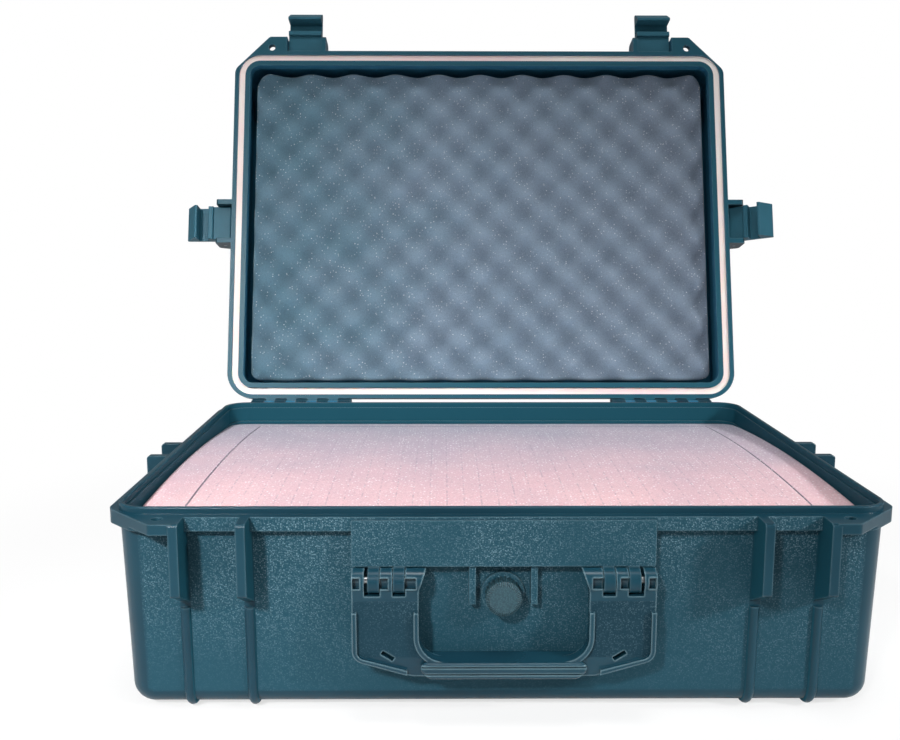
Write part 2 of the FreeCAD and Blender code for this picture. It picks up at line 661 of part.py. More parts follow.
def make_base_shell():
    body = new_body("base_shell")
    bottom_inset = wall_inset("0")
    loft(body, "Wall", [(NO_OFFSET, rounded(bottom_inset)), (WALL_TOP, rounded("flange_overhang"))])
    fillet(body, "BottomRound", "base_round", lambda edge: level_edge(edge, 0))
    upward(body, "Flange", WALL_TOP, "flange_height", flange_outline())
    low_inset = f"({wall_inset('wall')} + wall + step_width)"
    high = f"({RIM} - step_drop)"
    high_inset = f"({wall_inset(high)} + wall + step_width)"
    loft(body, "Hollow", [("wall", rounded(low_inset)), (high, rounded(high_inset))], cut=True)
    inner_floor = size("wall")
    fillet(body, "FloorRound", "inner_round", lambda edge: level_edge(edge, inner_floor))
    upward(body, "Mouth", high, "step_drop", rounded("flange_overhang + wall"), cut=True)
    # The valve sits in a boss that is flat on both faces.
    valve_z = f"{RIM} - valve_drop"
    boss = ("0", valve_z, "boss_radius")
    forward(body, "ValveBoss", f"{FRONT} + boss_back", "boss_back - boss_front", boss)
    forward(
        body, "ValveBore", f"{FRONT} + boss_back + overrun", "boss_back + overrun * 2",
        ("0", valve_z, "bush_radius"), cut=True,
    )
    panel_top = f"({RIM} - panel_drop)"
    panel_low = f"({panel_top} - panel_height)"
    panel = [
        ("-panel_width / 2", panel_low, "panel_edge"),
        ("panel_width / 2", panel_low, "panel_edge"),
        ("panel_width / 2", panel_top, "panel_edge"),
        ("-panel_width / 2", panel_top, "panel_edge"),
    ]
    forward(body, "Panel", f"{FRONT} + {IN_WALL}", f"{IN_WALL} + panel_proud", panel)
    right = handle_knuckles(body)
    guard_low = f"{panel_low} - guard_height"
    guard = box_loop("guard_in", guard_low, "guard_in + guard_width", f"{panel_low} + panel_edge")
    right.append(forward(body, "Guard", f"{FRONT} + {IN_WALL}", f"{IN_WALL} - guard_back", guard))
    right += base_fins(body)
    right += base_ribs(body)
    ear_floor = f"{RIM} - ear_thickness"
    right.append(upward(body, "Ear", ear_floor, "ear_thickness", ear_loop(f"{SIDE} - ear_inner")))
    hole_depth = "ear_thickness + overrun * 2"
    right.append(upward(body, "PadlockHole", f"{ear_floor} - overrun", hole_depth, padlock_hole(), cut=True))
    right += hinge_block(body)
    mirrored(body, "LeftSide", right)
    tongue_out = "tongue_inset - tongue_width / 2"
    tongue_in = "tongue_inset + tongue_width / 2"
    upward(body, "Tongue", RIM, "tongue_height", rounded(tongue_out), rounded(tongue_in))
    tongue_top = size(f"{RIM} + tongue_height")
    fillet(body, "TongueRound", "tongue_edge", lambda edge: level_edge(edge, tongue_top))
    return body


def lid_hinge_arms(body):
    """Four arms with knuckles on the right hinge."""
    features = []
    section = [
        (f"{BACK} - {IN_WALL}", LID_RIM),
        (f"{HINGE_Y} - hinge_radius", LID_RIM),
        (f"{HINGE_Y} - hinge_radius", HINGE_Z),
        (f"{HINGE_Y} + hinge_radius", HINGE_Z),
        (f"{BACK} - {IN_WALL}", f"{HINGE_Z} + hinge_arm"),
    ]
    for number, share in enumerate(KNUCKLE_SHARES):
        start = f"hinge_x + {share} * hinge_pitch - hinge_width / 2"
        features.append(sideways(body, f"Arm{number}", start, "hinge_width", section))
        barrel = (HINGE_Y, HINGE_Z, "hinge_radius")
        features.append(sideways(body, f"Knuckle{number}", start, "hinge_width", barrel))
    bore = (HINGE_Y, HINGE_Z, "hinge_pin_radius + running_fit")
    features.append(
        sideways(body, "HingeBore", "hinge_x - hinge_half", "hinge_half * 2", bore, cut=True)
    )
    return features


def lid_fins(body):
    """Fins with pin bores beside the right front latch and the right side latch."""
    bore_at = ("pivot_out", f"{LID_RIM} + pivot_up")
    bore = "latch_pin_radius + running_fit"
    front_bore = (front_out(bore_at[0]), bore_at[1], bore)
    side_bore = (side_out(bore_at[0]), bore_at[1], bore)
    reach = f"({FIN_IN} + lid_fin_width)"
    return [
        sideways(body, "FinOuter", f"latch_x + {FIN_IN}", "lid_fin_width", lid_fin_loop(front_out)),
        sideways(body, "FinInner", f"latch_x - {reach}", "lid_fin_width", lid_fin_loop(front_out)),
        forward(body, "SideFinFront", f"-{FIN_IN}", "lid_fin_width", lid_fin_loop(side_out)),
        forward(body, "SideFinRear", reach, "lid_fin_width", lid_fin_loop(side_out)),
        sideways(body, "FrontPinBore", f"latch_x - {reach}", f"{reach} * 2", front_bore, cut=True),
        forward(body, "SidePinBore", reach, f"{reach} * 2", side_bore, cut=True),
    ]


def make_lid_shell():
    body = new_body("lid_shell", LID_PLACE)
    shoulder = f"({LID_RIM} + flange_height)"
    top_inset = "(flange_overhang + lid_taper)"
    loft(body, "Wall", [(shoulder, rounded("flange_overhang")), (LID_TOP, rounded(top_inset))])
    lid_top = size(LID_TOP)
    fillet(body, "TopRound", "lid_round", lambda edge: level_edge(edge, lid_top))
    upward(body, "Flange", LID_RIM, "flange_height", flange_outline())
    ledge = f"({LID_RIM} + mouth_height)"
    ceiling = f"({LID_TOP} - wall)"
    hollow = [
        (ledge, rounded("flange_overhang + wall")),
        (ceiling, rounded(f"{top_inset} + wall")),
    ]
    loft(body, "Hollow", hollow, cut=True)
    ceiling_level = size(ceiling)
    fillet(body, "CeilingRound", "inner_round", lambda edge: level_edge(edge, ceiling_level))
    upward(body, "Mouth", LID_RIM, "mouth_height", rounded("mouth_inset"), cut=True)
    right = lid_fins(body)
    ear_inner = f"latch_x + {FIN_IN}"
    right.append(upward(body, "Ear", LID_RIM, "ear_thickness", ear_loop(ear_inner)))
    hole_depth = "ear_thickness + overrun * 2"
    right.append(upward(body, "PadlockHole", f"{LID_RIM} - overrun", hole_depth, padlock_hole(), cut=True))
    right += lid_hinge_arms(body)
    mirrored(body, "LeftSide", right)
    groove_depth = "seal_recess + seal_thickness"
    outer = rounded("seal_inset")
    inner = rounded("seal_inset + seal_width")
    upward(body, "SealGroove", LID_RIM, groove_depth, outer, inner, cut=True)
    return body


def make_lid_seal():
    body = new_body("lid_seal", LID_PLACE)
    outer = rounded("seal_inset")
    inner = rounded("seal_inset + seal_width")
    upward(body, "Ring", f"{LID_RIM} + seal_recess", "seal_thickness", outer, inner)
    return body


def make_lid_foam():
    """Egg-crate foam: peaks and hollows alternate on a grid, joined through the cells' middles."""
    half_x = size(f"{SIDE} - lid_foam_side")
    half_y = size(f"{BACK} - lid_foam_side")
    across = round(2 * half_x / size("foam_pitch"))
    along = round(2 * half_y / size("foam_pitch"))
    peak = size(f"{LID_RIM} + lid_foam_peak")
    pit = size(f"{LID_RIM} + lid_foam_pit")
    back = size(f"{LID_TOP} - wall")

    def node(i, j):
        level = peak if (i + j) % 2 else pit
        return Vector(-half_x + 2 * half_x * i / across, -half_y + 2 * half_y * j / along, level)

    faces = []
    for i in range(across):
        for j in range(along):
            ring = [node(i, j), node(i, j + 1), node(i + 1, j + 1), node(i + 1, j)]
            middle = (ring[0] + ring[2]) * 0.5
            middle.z = (peak + pit) / 2
            for n in range(4):
                faces.append(Part.Face(Part.makePolygon([ring[n], ring[(n + 1) % 4], middle, ring[n]])))
    edges = [
        [node(i, 0) for i in range(across + 1)],
        [node(across, j) for j in range(along + 1)],
        [node(i, along) for i in range(across, -1, -1)],
        [node(0, j) for j in range(along, -1, -1)],
    ]
    corners = [Vector(run[0].x, run[0].y, back) for run in edges]
    for number, run in enumerate(edges):
        following = corners[(number + 1) % 4]
        faces.append(Part.Face(Part.makePolygon(run + [following, corners[number], run[0]])))
    faces.append(Part.Face(Part.makePolygon(corners + [corners[0]])))
    foam = doc.addObject("Part::Feature", "lid_foam")
    foam.Label = "lid_foam"
    foam.Shape = Part.makeSolid(Part.makeShell(faces))
    foam.setExpression("Placement", linked(LID_PLACE))
    return foam


def make_base_foam():
    """Floor pad and the block above it, with a crowned top and scored for plucking."""
    pad = new_body("base_foam_floor")
    upward(pad, "Sheet", "wall", "floor_foam", rounded("floor_inset"))

    block = new_body("base_foam_block")
    low = "(wall + floor_foam)"
    high = f"({RIM} - step_drop)"
    low_inset = f"({wall_inset(low)} + wall + step_width + foam_gap)"
    high_inset = f"({wall_inset(high)} + wall + step_width + foam_gap)"
    loft(block, "Block", [(low, rounded(low_inset)), (RIM, rounded(high_inset))])
    crown = [
        (FRONT, f"{RIM} - crown_front"),
        ("0", RIM, "crown_radius"),
        (BACK, f"{RIM} - crown_back"),
        (BACK, f"{RIM} + overrun"),
        (FRONT, f"{RIM} + overrun"),
    ]
    sideways(block, "Crown", f"-{SIDE}", "case_width", crown, cut=True)
    score = box_loop(
        "score_x - score_width / 2", f"{RIM} - score_depth", "score_x + score_width / 2", f"{RIM} + overrun"
    )
    long_score = forward(block, "LongScore", BACK, "case_depth", score, cut=True)
    mirrored(block, "LongScores", [long_score])
    score_y = f"({BACK} - {high_inset} - score_back)"
    cross = box_loop(score_y, f"{RIM} - score_depth", f"{score_y} + score_width", f"{RIM} + overrun")
    sideways(block, "CrossScore", "-score_x + score_width", "(score_x - score_width) * 2", cross, cut=True)
    room = ("0", f"{RIM} - valve_drop", "washer_radius + valve_room")
    forward(
        block, "ValveRoom", f"{FRONT} + bush_end + valve_room", "bush_end + valve_room",
        room, cut=True,
    )
    return [pad, block]


def make_pin(name, radius, length, place):
    """A plain pin along X, with its middle where the place says."""
    pin = doc.addObject("Part::Cylinder", name)
    pin.Label = name
    pin.setExpression("Radius", linked(radius))
    pin.setExpression("Height", linked(length))
    upright = f"placement(vector(-({length}) / 2; 0; 0); rotation(vector(0; 1; 0); 90))"
    pin.setExpression("Placement", linked(f"{place} * {upright}"))
    return pin


def at(across, along, up, turn="0"):
    """A placement, turned about the upright axis, written in size names."""
    return f"placement(vector({across}; {along}; {up}); rotation(vector(0; 0; 1); {turn}))"


def make_pins():
    pins = []
    for name, sign in (("left", "-"), ("right", "")):
        hinge_length = "(hinge_half * 2 - wall)"
        place = at(f"{sign}hinge_x", HINGE_Y, HINGE_Z)
        pins.append(make_pin(f"hinge_pin_{name}", "hinge_pin_radius", hinge_length, place))
        start = "(handle_gap + clearance)"
        end = "(panel_width / 2 - wall / 2)"
        middle = f"{sign}({start} + {end}) / 2"
        place = at(middle, f"{FRONT} - handle_out", f"{RIM} - handle_drop")
        pins.append(make_pin(f"handle_pin_{name}", "handle_pin_radius", f"({end} - {start})", place))
    return pins


def latch_place(across, along, turn):
    """Where a latch pivots on the lid, as the lid stands."""
    return f"{LID_PLACE} * {at(across, along, f'{LID_RIM} + pivot_up', turn)}"


def latch_places():
    front = f"({FRONT} - pivot_out)"
    side = f"({SIDE} + pivot_out)"
    return {
        "front_left": (latch_place("-latch_x", front, "0"), "latch_open"),
        "front_right": (latch_place("latch_x", front, "0"), "latch_open"),
        "side_left": (latch_place(f"-{side}", "0", "-90"), "latch_open"),
        "side_right": (latch_place(side, "0", "90"), "latch_open_right"),
    }


def make_latch(name, place, opening):
    """Pull latch about its own pin axis: -Y points away from the case, -Z to the hook."""
    swing = f"placement(vector(0; 0; 0); rotation(vector(1; 0; 0); -{opening}))"
    body = new_body(f"latch_{name}", f"{place} * {swing}")
    face = "-latch_face"
    inner = "-(latch_face - latch_plate)"
    hook_top = f"-(pivot_up + {RIM_GAP} + flange_height + hook_slack)"
    hook_low = f"({hook_top} - hook_crest)"
    hook_in = "pivot_out + latch_hook"
    rib_in = "pivot_out - latch_rib_gap"
    rib_top = "-latch_rib_top"
    rib_low = "-(latch_rib_top + latch_rib_height)"
    profile = [
        (face, "latch_head", "latch_edge"),
        (face, "-latch_tip", "latch_edge"),
        (inner, "-latch_tip", "latch_edge"),
        (hook_in, hook_low, "latch_edge"),
        (hook_in, hook_top, "latch_edge / 2"),
        (inner, hook_top),
        (inner, rib_low),
        (rib_in, rib_low, "latch_edge"),
        (rib_in, rib_top, "latch_edge"),
        ("latch_hub", rib_top),
        ("latch_hub", "latch_head", "latch_edge"),
    ]
    sideways(body, "Profile", "-latch_width / 2", "latch_width", profile)
    bore = ("0", "0", "latch_pin_radius + running_fit")
    sideways(body, "Bore", "-latch_width / 2 - overrun", "latch_width + overrun * 2", bore, cut=True)
    return body


def make_latches():
    pieces = []
    pin_length = f"(({FIN_IN} + lid_fin_width) * 2 - clearance * 2)"
    for name, (place, opening) in latch_places().items():
        pieces.append(make_latch(name, place, opening))
        pieces.append(make_pin(f"latch_pin_{name}", "latch_pin_radius", pin_length, place))
    return pieces


def handle_border(body):
    """Raised border on the right plate: down its outer side, along the slope, and round the gap."""
    outer = "(panel_width / 2 - knuckle_gap)"
    foot = "(handle_foot + bead_width)"
    slope = [
        (outer, "-bead_top"),
        (f"{outer} - bead_width", "-bead_top"),
        (f"{outer} - bead_width", "-handle_side + bead_width / 2", "plate_corner - bead_width"),
        (foot, "-handle_length + bead_width * 1.5"),
        (foot, "-handle_length + bead_width / 2"),
        (outer, "-handle_side", "plate_corner"),
    ]
    gap = [
        ("handle_gap", "-bead_top"),
        ("handle_gap", "-handle_length + grip_height", "gap_corner"),
        ("handle_gap / 2", "-handle_length + grip_height"),
        ("handle_gap / 2", "-handle_length + grip_height - bead_width"),
        ("handle_gap + bead_width", "-handle_length + grip_height - bead_width", "gap_corner + bead_width"),
        ("handle_gap + bead_width", "-bead_top"),
    ]
    return [
        forward(body, "OuterBead", "-plate_front", "bead_height", slope),
        forward(body, "GapBead", "-plate_front", "bead_height", gap),
    ]


def make_handle():
    """Handle about its own axis: it hangs towards -Z and its face looks towards -Y."""
    body = new_body("handle", at("0", f"{FRONT} - handle_out", f"{RIM} - handle_drop"))
    outer = "(panel_width / 2 - knuckle_gap)"
    grip_top = "(-handle_length + grip_height)"
    plate = [
        (f"-{outer}", "-plate_top"),
        (f"-{outer}", "-handle_side", "plate_corner"),
        ("-handle_foot", "-handle_length", "foot_corner"),
        ("handle_foot", "-handle_length", "foot_corner"),
        (outer, "-handle_side", "plate_corner"),
        (outer, "-plate_top"),
        ("handle_gap", "-plate_top"),
        ("handle_gap", grip_top, "gap_corner"),
        ("-handle_gap", grip_top, "gap_corner"),
        ("-handle_gap", "-plate_top"),
    ]
    thickness = "plate_front + plate_back"
    forward(body, "Plate", "plate_back", thickness, plate)
    grip = [
        ("-grip_end + foot_corner", "-handle_length", "grip_round * 2"),
        ("grip_end - foot_corner", "-handle_length", "grip_round * 2"),
        ("grip_end - grip_round", grip_top, "grip_round"),
        ("-grip_end + grip_round", grip_top, "grip_round"),
    ]
    forward(body, "Grip", "grip_back", "grip_back + grip_front", grip)
    faces = (size("grip_back"), size("-grip_front"))
    fillet(
        body, "GripRound", "grip_round / 2",
        lambda edge: edge.BoundBox.YLength < size("clearance")
        and any(abs(edge.BoundBox.YMin - face) < size("clearance") for face in faces),
    )
    grooves = []
    for level in ("lip_height", "(lip_height + groove_width + bar_height)"):
        low = f"{grip_top} - {level} - groove_width"
        grooves.append(box_loop("-grip_end - overrun", low, "grip_end + overrun", f"{grip_top} - {level}"))
    forward(body, "GripGrooves", "-grip_front + groove_depth", "groove_depth + overrun", *grooves, cut=True)
    middle = "knuckle_start + knuckle_inner + knuckle_base + knuckle_gap * 2"
    last = f"{outer} - knuckle_outer"
    right = []
    legs = []
    for name, start, length in (
        ("Inner", "knuckle_start", "knuckle_inner"),
        ("Middle", middle, "knuckle_middle"),
        ("Outer", last, "knuckle_outer"),
    ):
        right.append(sideways(body, f"Knuckle{name}", start, length, ("0", "0", "barrel_radius")))
        left_edge = "handle_gap" if name == "Inner" else start
        legs.append(box_loop(left_edge, "-plate_top - wall", f"{start} + {length}", "-barrel_radius / 2"))
    right.append(forward(body, "Legs", "plate_back", thickness, *legs))
    right += handle_border(body)
    window_out = "(window_in + window_run)"
    window = [
        ("window_in", "-window_top - window_fall"),
        ("window_in + window_lean", "-window_top - window_fall - window_height"),
        (f"{window_out} + window_lean", "-window_top - window_height"),
        (window_out, "-window_top"),
    ]
    window_depth = f"{thickness} + overrun * 2"
    right.append(forward(body, "Window", "plate_back + overrun", window_depth, window, cut=True))
    # The first knuckle's inner end slants towards the plate below it.
    slant = [
        ("knuckle_start - overrun", "-barrel_radius - overrun"),
        ("handle_gap - clearance", "-barrel_radius - overrun"),
        ("handle_gap - clearance", "-barrel_radius / 2"),
        ("knuckle_start - clearance", "barrel_radius + overrun"),
        ("knuckle_start - overrun", "barrel_radius + overrun"),
    ]
    slant_depth = "(barrel_radius + overrun) * 2"
    right.append(forward(body, "KnuckleSlant", "barrel_radius + overrun", slant_depth, slant, cut=True))
    cores = []
    for end, length in (
        ("(knuckle_start + knuckle_inner)", "core_inner"),
        (f"({middle} + knuckle_middle)", "core_middle"),
        (f"({outer} - core_end)", "core_outer"),
    ):
        cores.append(box_loop(f"{end} - {length}", "-core_height / 2", end, "core_height / 2"))
    core_back = "-(handle_pin_radius + running_fit + core_wall)"
    right.append(forward(body, "KnuckleCores", core_back, "barrel_radius", *cores, cut=True))
    bore = ("0", "0", "handle_pin_radius + running_fit")
    right.append(sideways(body, "Bore", "handle_gap", f"{outer} - handle_gap + overrun", bore, cut=True))
    mirrored(body, "LeftSide", right)
    return body


def make_valve():
    """Valve pieces about their own axis: Y runs inwards from the flange's face."""
    place = at("0", FRONT, f"{RIM} - valve_drop")
    bush = new_body("valve_bush", place)
    turned(bush, "Sleeve", [
        ("bush_bore", "boss_front - bush_flange_thickness"),
        ("bush_flange", "boss_front - bush_flange_thickness"),
        ("bush_flange", "boss_front"),
        ("bush_radius", "boss_front"),
        ("bush_radius", "bush_end"),
        ("bush_bore", "bush_end"),
    ])
    washer = new_body("valve_washer", place)
    washer_end = "boss_back + washer_thickness"
    turned(washer, "Ring", box_loop("bush_radius", "boss_back", "washer_radius", washer_end))
    nut = new_body("valve_nut", place)
    corners = [
        (f"nut_radius * cos({360 * n / NUT_SIDES})", f"nut_radius * sin({360 * n / NUT_SIDES})")
        for n in range(NUT_SIDES)
    ]
    nut_end = f"{washer_end} + nut_thickness"
    forward(nut, "Hexagon", nut_end, "nut_thickness", corners, ("0", "0", "bush_radius"))
    membrane = new_body("valve_membrane", place)
    turned(membrane, "Disc", box_loop(
        "0", "membrane_depth", "bush_bore", "membrane_depth + membrane_thickness"
    ))
    knob = new_body("valve_knob", place)
    stem = "bush_bore - running_fit"
    turned(knob, "Knob", [
        ("0", "-knob_reach"),
        ("knob_radius - knob_skirt", "-knob_reach + knob_dome"),
        ("knob_radius", "-knob_reach + knob_skirt"),
        ("knob_radius", "boss_front - knob_skirt_gap"),
        ("knob_radius - knob_skirt", "boss_front - knob_skirt_gap"),
        ("knob_radius - knob_skirt", "knob_inner"),
        (stem, "knob_inner"),
        (stem, "knob_stem_end"),
        ("0", "knob_stem_end"),
    ])
    groove = ("0", "knob_radius", "knurl_radius")
    cut_end = "boss_front + overrun"
    cut_length = "boss_front + overrun + knob_reach - knurl_start"
    groove_cut = forward(knob, "Groove", cut_end, cut_length, groove, cut=True)
    pattern = knob.newObject("PartDesign::PolarPattern", "Knurl")
    pattern.Originals = [groove_cut]
    pattern.Axis = (origin_part(knob, "Y_Axis"), [""])
    pattern.Occurrences = KNURL_COUNT
    knob.Tip = pattern
    ring = new_body("valve_o_ring", place)
    section = sketch_on(ring, "Section", "XY_Plane", NO_OFFSET)
    draw_circle(section, "ring_radius", "knob_inner + ring_section", "ring_section")
    torus = ring.newObject("PartDesign::Revolution", "Torus")
    torus.Profile = section
    torus.ReferenceAxis = (section, ["V_Axis"])
    return [bush, washer, nut, membrane, knob, ring]


def build():
    pieces = [make_base_shell(), make_lid_shell(), make_lid_seal(), make_lid_foam(), make_handle()]
    pieces += make_base_foam()
    pieces += make_pins()
    pieces += make_latches()
    pieces += make_valve()
    doc.recompute()
    return pieces


def check(pieces):
    """Stop if any feature failed or any piece has no sound solid."""
    for item in doc.Objects:
        if {"Invalid", "Error"} & set(item.State):
            raise RuntimeError(f"{item.Label} failed: {item.State}")
    for piece in pieces:
        if piece.Shape.isNull() or not piece.Shape.isValid() or not piece.Shape.Solids:
            raise RuntimeError(f"{piece.Label} has no sound solid")


def write(pieces):
    os.makedirs("parts", exist_ok=True)
    for piece in pieces:
        piece.Shape.exportStep(f"parts/{piece.Label}.step")
        print(piece.Label, len(piece.Shape.Solids), round(piece.Shape.Volume))


all_pieces = build()
check(all_pieces)
write(all_pieces)
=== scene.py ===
"""The looks of the laptop hard case: moulded shells, latches, cut foam, seal, floor, light and camera."""
import math

import bmesh
import bpy
from mathutils import Matrix, Vector


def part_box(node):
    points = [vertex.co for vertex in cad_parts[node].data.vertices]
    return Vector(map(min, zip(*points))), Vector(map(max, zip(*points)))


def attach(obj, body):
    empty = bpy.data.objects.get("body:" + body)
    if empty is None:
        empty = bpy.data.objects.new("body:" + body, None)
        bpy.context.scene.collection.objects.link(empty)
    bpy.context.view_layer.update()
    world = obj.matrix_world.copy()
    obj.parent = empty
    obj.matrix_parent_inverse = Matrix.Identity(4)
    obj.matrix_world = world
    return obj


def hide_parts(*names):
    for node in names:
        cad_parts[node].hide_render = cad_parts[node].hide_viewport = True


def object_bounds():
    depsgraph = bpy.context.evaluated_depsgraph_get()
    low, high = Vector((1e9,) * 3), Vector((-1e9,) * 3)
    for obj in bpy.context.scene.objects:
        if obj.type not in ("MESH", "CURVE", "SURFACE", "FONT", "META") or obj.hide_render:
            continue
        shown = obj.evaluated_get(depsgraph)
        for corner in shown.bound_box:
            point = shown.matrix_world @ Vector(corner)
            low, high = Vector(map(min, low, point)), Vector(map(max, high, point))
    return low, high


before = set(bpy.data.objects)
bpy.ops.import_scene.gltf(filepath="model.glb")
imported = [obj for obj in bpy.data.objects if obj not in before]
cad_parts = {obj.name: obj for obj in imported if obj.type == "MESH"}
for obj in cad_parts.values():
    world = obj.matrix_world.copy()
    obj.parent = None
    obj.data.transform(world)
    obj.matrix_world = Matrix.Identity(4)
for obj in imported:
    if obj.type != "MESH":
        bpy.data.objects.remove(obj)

CAD_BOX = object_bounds()
bpy.context.scene.view_settings.view_transform = "Standard"
MM = 0.001

# Sizes and places of the case

# The lid stands open by this turn about the hinge pins.
LID_OPEN = math.radians(-106)
HINGE_LINE = Vector((0, 202.5, 141)) * MM
# The grain ends just beyond the flanges' side and front faces, so that what stands proud of them is
# smooth, and at a smooth band round the rims, which is given by its middle and half its height.
SIDE_FACE = 274 * MM
FRONT_FACE = 197 * MM
RIM_BAND = (144.6 * MM, 2.6 * MM)
# Smooth fins and ribs stand beside each latch: the latch's middle, then from there the fin's middle,
# and half the fin's width. The grain leaves out their lines over the whole of a face.
LATCH_X = 196.5 * MM
FIN_MIDDLE = 22.1 * MM
FIN_HALF = 3.7 * MM
# On the handle the grain lies behind this face and between these heights.
PLATE_FACE = 205.5 * MM
PLATE_LOW = 46 * MM
PLATE_HIGH = 86 * MM
# The valve's knob: height of its axis, ridges round it, and where its ridged skirt starts, as radii.
KNOB_HEIGHT = 86 * MM
KNOB_RIDGES = 48
KNOB_SKIRT = (8.5 * MM, 9.5 * MM)
# A face counts as flat where its direction lies this near an axis, as a cosine.
FLAT = (0.972, 0.992)

# Egg-crate foam with the lid closed: half its size, the cells of its grid, its corners, the middle level
# and half height of its relief, its flat back, the distance from peak to hollow, and how far left of the
# middle and in front of it a peak is.
EGG_HALF = (250 * MM, 172.5 * MM)
EGG_CELLS = (210, 150)
EGG_CORNER = 9 * MM
EGG_CRATE = (161.6 * MM, 4.5 * MM)
EGG_BACK = 199.1 * MM
EGG_PITCH = 23.75 * MM
EGG_PEAK = (236.5 * MM, 172.5 * MM)

# Foam block of the base: the crown of its top as a height, a fall towards the back and a radius, then
# the cells of its grid, its corners and how far its foot is drawn in.
CROWN_HEIGHT = 136.0 * MM
CROWN_FALL = 0.0154
CROWN_RADIUS = 2000 * MM
BLOCK_CELLS = (170, 120)
BLOCK_CORNER = 15 * MM
BLOCK_FOOT = 4 * MM
# Long scores near its sides and the cross score near its back, with half their width, both depths, and
# how near a score's middle a point counts as on it.
SCORE_X = 228 * MM
SCORE_Y = 158 * MM
SCORE_HALF = 0.6 * MM
SCORE_DEPTH = 8 * MM
CROSS_DEPTH = 3 * MM
SCORE_TOUCH = 0.1 * MM
# Half the distance between its rows of pluck cuts.
PLUCK_HALF_PITCH = 6.35 * MM
# Floor pad: the cells of its grid and its corners.
PAD_CELLS = (24, 16)
PAD_CORNER = 12 * MM
# The block and the pad stay this much inside the solids that they replace, and all foam has front corners
# that are rounder than its rear ones by this share.
FOAM_PLAY = 0.2 * MM
FRONT_CORNER_SHARE = 1.6

# Half the size of the studio's floor, in metres.
FLOOR_HALF = 12
# The camera, fitted to the case's edges in the photo: its place in metres, its turns in degrees, and its
# lens and film width in millimetres.
CAMERA_SPOT = (-0.0411, -0.8407, 0.3444)
CAMERA_DOWN = 9.02
CAMERA_ROLL = -0.05
CAMERA_TURN = -0.40
CAMERA_LENS = 39.86
CAMERA_FILM = 36


def tone(written):
    """An sRGB hex colour as the linear colour that the shaders take."""
    parts = [int(written[i:i + 2], 16) / 255 for i in (1, 3, 5)]
    return [p / 12.92 if p <= 0.04045 else ((p + 0.055) / 1.055) ** 2.4 for p in parts] + [1]


def node(tree, kind, inputs=(), stops=(), **settings):
    """Add a node with its settings. inputs gives sockets a number, a colour or another node's output,
    and stops gives a colour ramp its places, each with a hex colour."""
    made = tree.nodes.new("ShaderNode" + kind)
    for name, value in settings.items():
        setattr(made, name, value)
    for socket, value in dict(inputs).items():
        if isinstance(value, bpy.types.NodeSocket):
            tree.links.new(value, made.inputs[socket])
        else:
            made.inputs[socket].default_value = value
    for place, written in stops[1:-1]:
        made.color_ramp.elements.new(place)
    if stops:
        for mark, (place, written) in zip(made.color_ramp.elements, stops):
            mark.position = place
            mark.color = tone(written)
    return made


def finish_named(name):
    """A new empty material and its node tree."""
    finish = bpy.data.materials.new(name)
    finish.use_nodes = True
    finish.node_tree.nodes.clear()
    return finish, finish.node_tree


def per_mm(length):
    """The texture scale that gives a feature of this many millimetres."""
    return 1 / (length * MM)


def shut_shift(turn):
    """How far places move, besides their turn, when a piece is turned back about the hinge line."""
    return HINGE_LINE - Matrix.Rotation(-turn, 3, "X") @ HINGE_LINE


# Finishes

def grain_mask(tree, place, facing):
    """1 on the outer flats of a shell, 0 on its inside, corners, fins and ribs, and on the lines of the
    fins and ribs across the rest of each face."""
    spot = node(tree, "SeparateXYZ", {0: place})
    way = node(tree, "SeparateXYZ", {0: facing})
    far = [node(tree, "Math", {0: spot.outputs[i]}, operation="ABSOLUTE").outputs[0] for i in range(2)]
    lean = [node(tree, "Math", {0: way.outputs[i]}, operation="ABSOLUTE").outputs[0] for i in range(3)]
    steepest = node(tree, "Math", {0: lean[0], 1: lean[1]}, operation="MAXIMUM").outputs[0]
    steepest = node(tree, "Math", {0: steepest, 1: lean[2]}, operation="MAXIMUM").outputs[0]
    flat = node(tree, "MapRange", {"Value": steepest, "From Min": FLAT[0], "From Max": FLAT[1]}).outputs[0]
    # A face whose plane lies about 160 mm out from the middle, and looks away from it, is on the outside.
    outward = node(tree, "VectorMath", {0: place, 1: facing}, operation="DOT_PRODUCT").outputs["Value"]
    outside = node(tree, "MapRange", {"Value": outward, "From Min": 0.155, "From Max": 0.165}).outputs[0]
    beside = node(tree, "Math", {0: far[0], 1: LATCH_X}, operation="SUBTRACT").outputs[0]
    beside = node(tree, "Math", {0: beside}, operation="ABSOLUTE").outputs[0]
    nearer = []
    for distance in (beside, far[1]):
        gap = node(tree, "Math", {0: distance, 1: FIN_MIDDLE}, operation="SUBTRACT").outputs[0]
        nearer.append(node(tree, "Math", {0: gap}, operation="ABSOLUTE").outputs[0])
    nearest = node(tree, "Math", {0: nearer[0], 1: nearer[1]}, operation="MINIMUM").outputs[0]
    clear = node(tree, "Math", {0: nearest, 1: FIN_HALF}, operation="GREATER_THAN").outputs[0]
    inside_x = node(tree, "Math", {0: far[0], 1: SIDE_FACE}, operation="LESS_THAN").outputs[0]
    inside_y = node(tree, "Math", {0: far[1], 1: FRONT_FACE}, operation="LESS_THAN").outputs[0]
    # The tongue and both rims, between the grained faces of the two shells, are smooth.
    rims = node(tree, "Math", {0: spot.outputs[2], 1: RIM_BAND[0]}, operation="SUBTRACT").outputs[0]
    rims = node(tree, "Math", {0: rims}, operation="ABSOLUTE").outputs[0]
    rims = node(tree, "Math", {0: rims, 1: RIM_BAND[1]}, operation="GREATER_THAN").outputs[0]
    mask = flat
    for part in (outside, clear, inside_x, inside_y, rims):
        mask = node(tree, "Math", {0: mask, 1: part}, operation="MULTIPLY").outputs[0]
    return mask


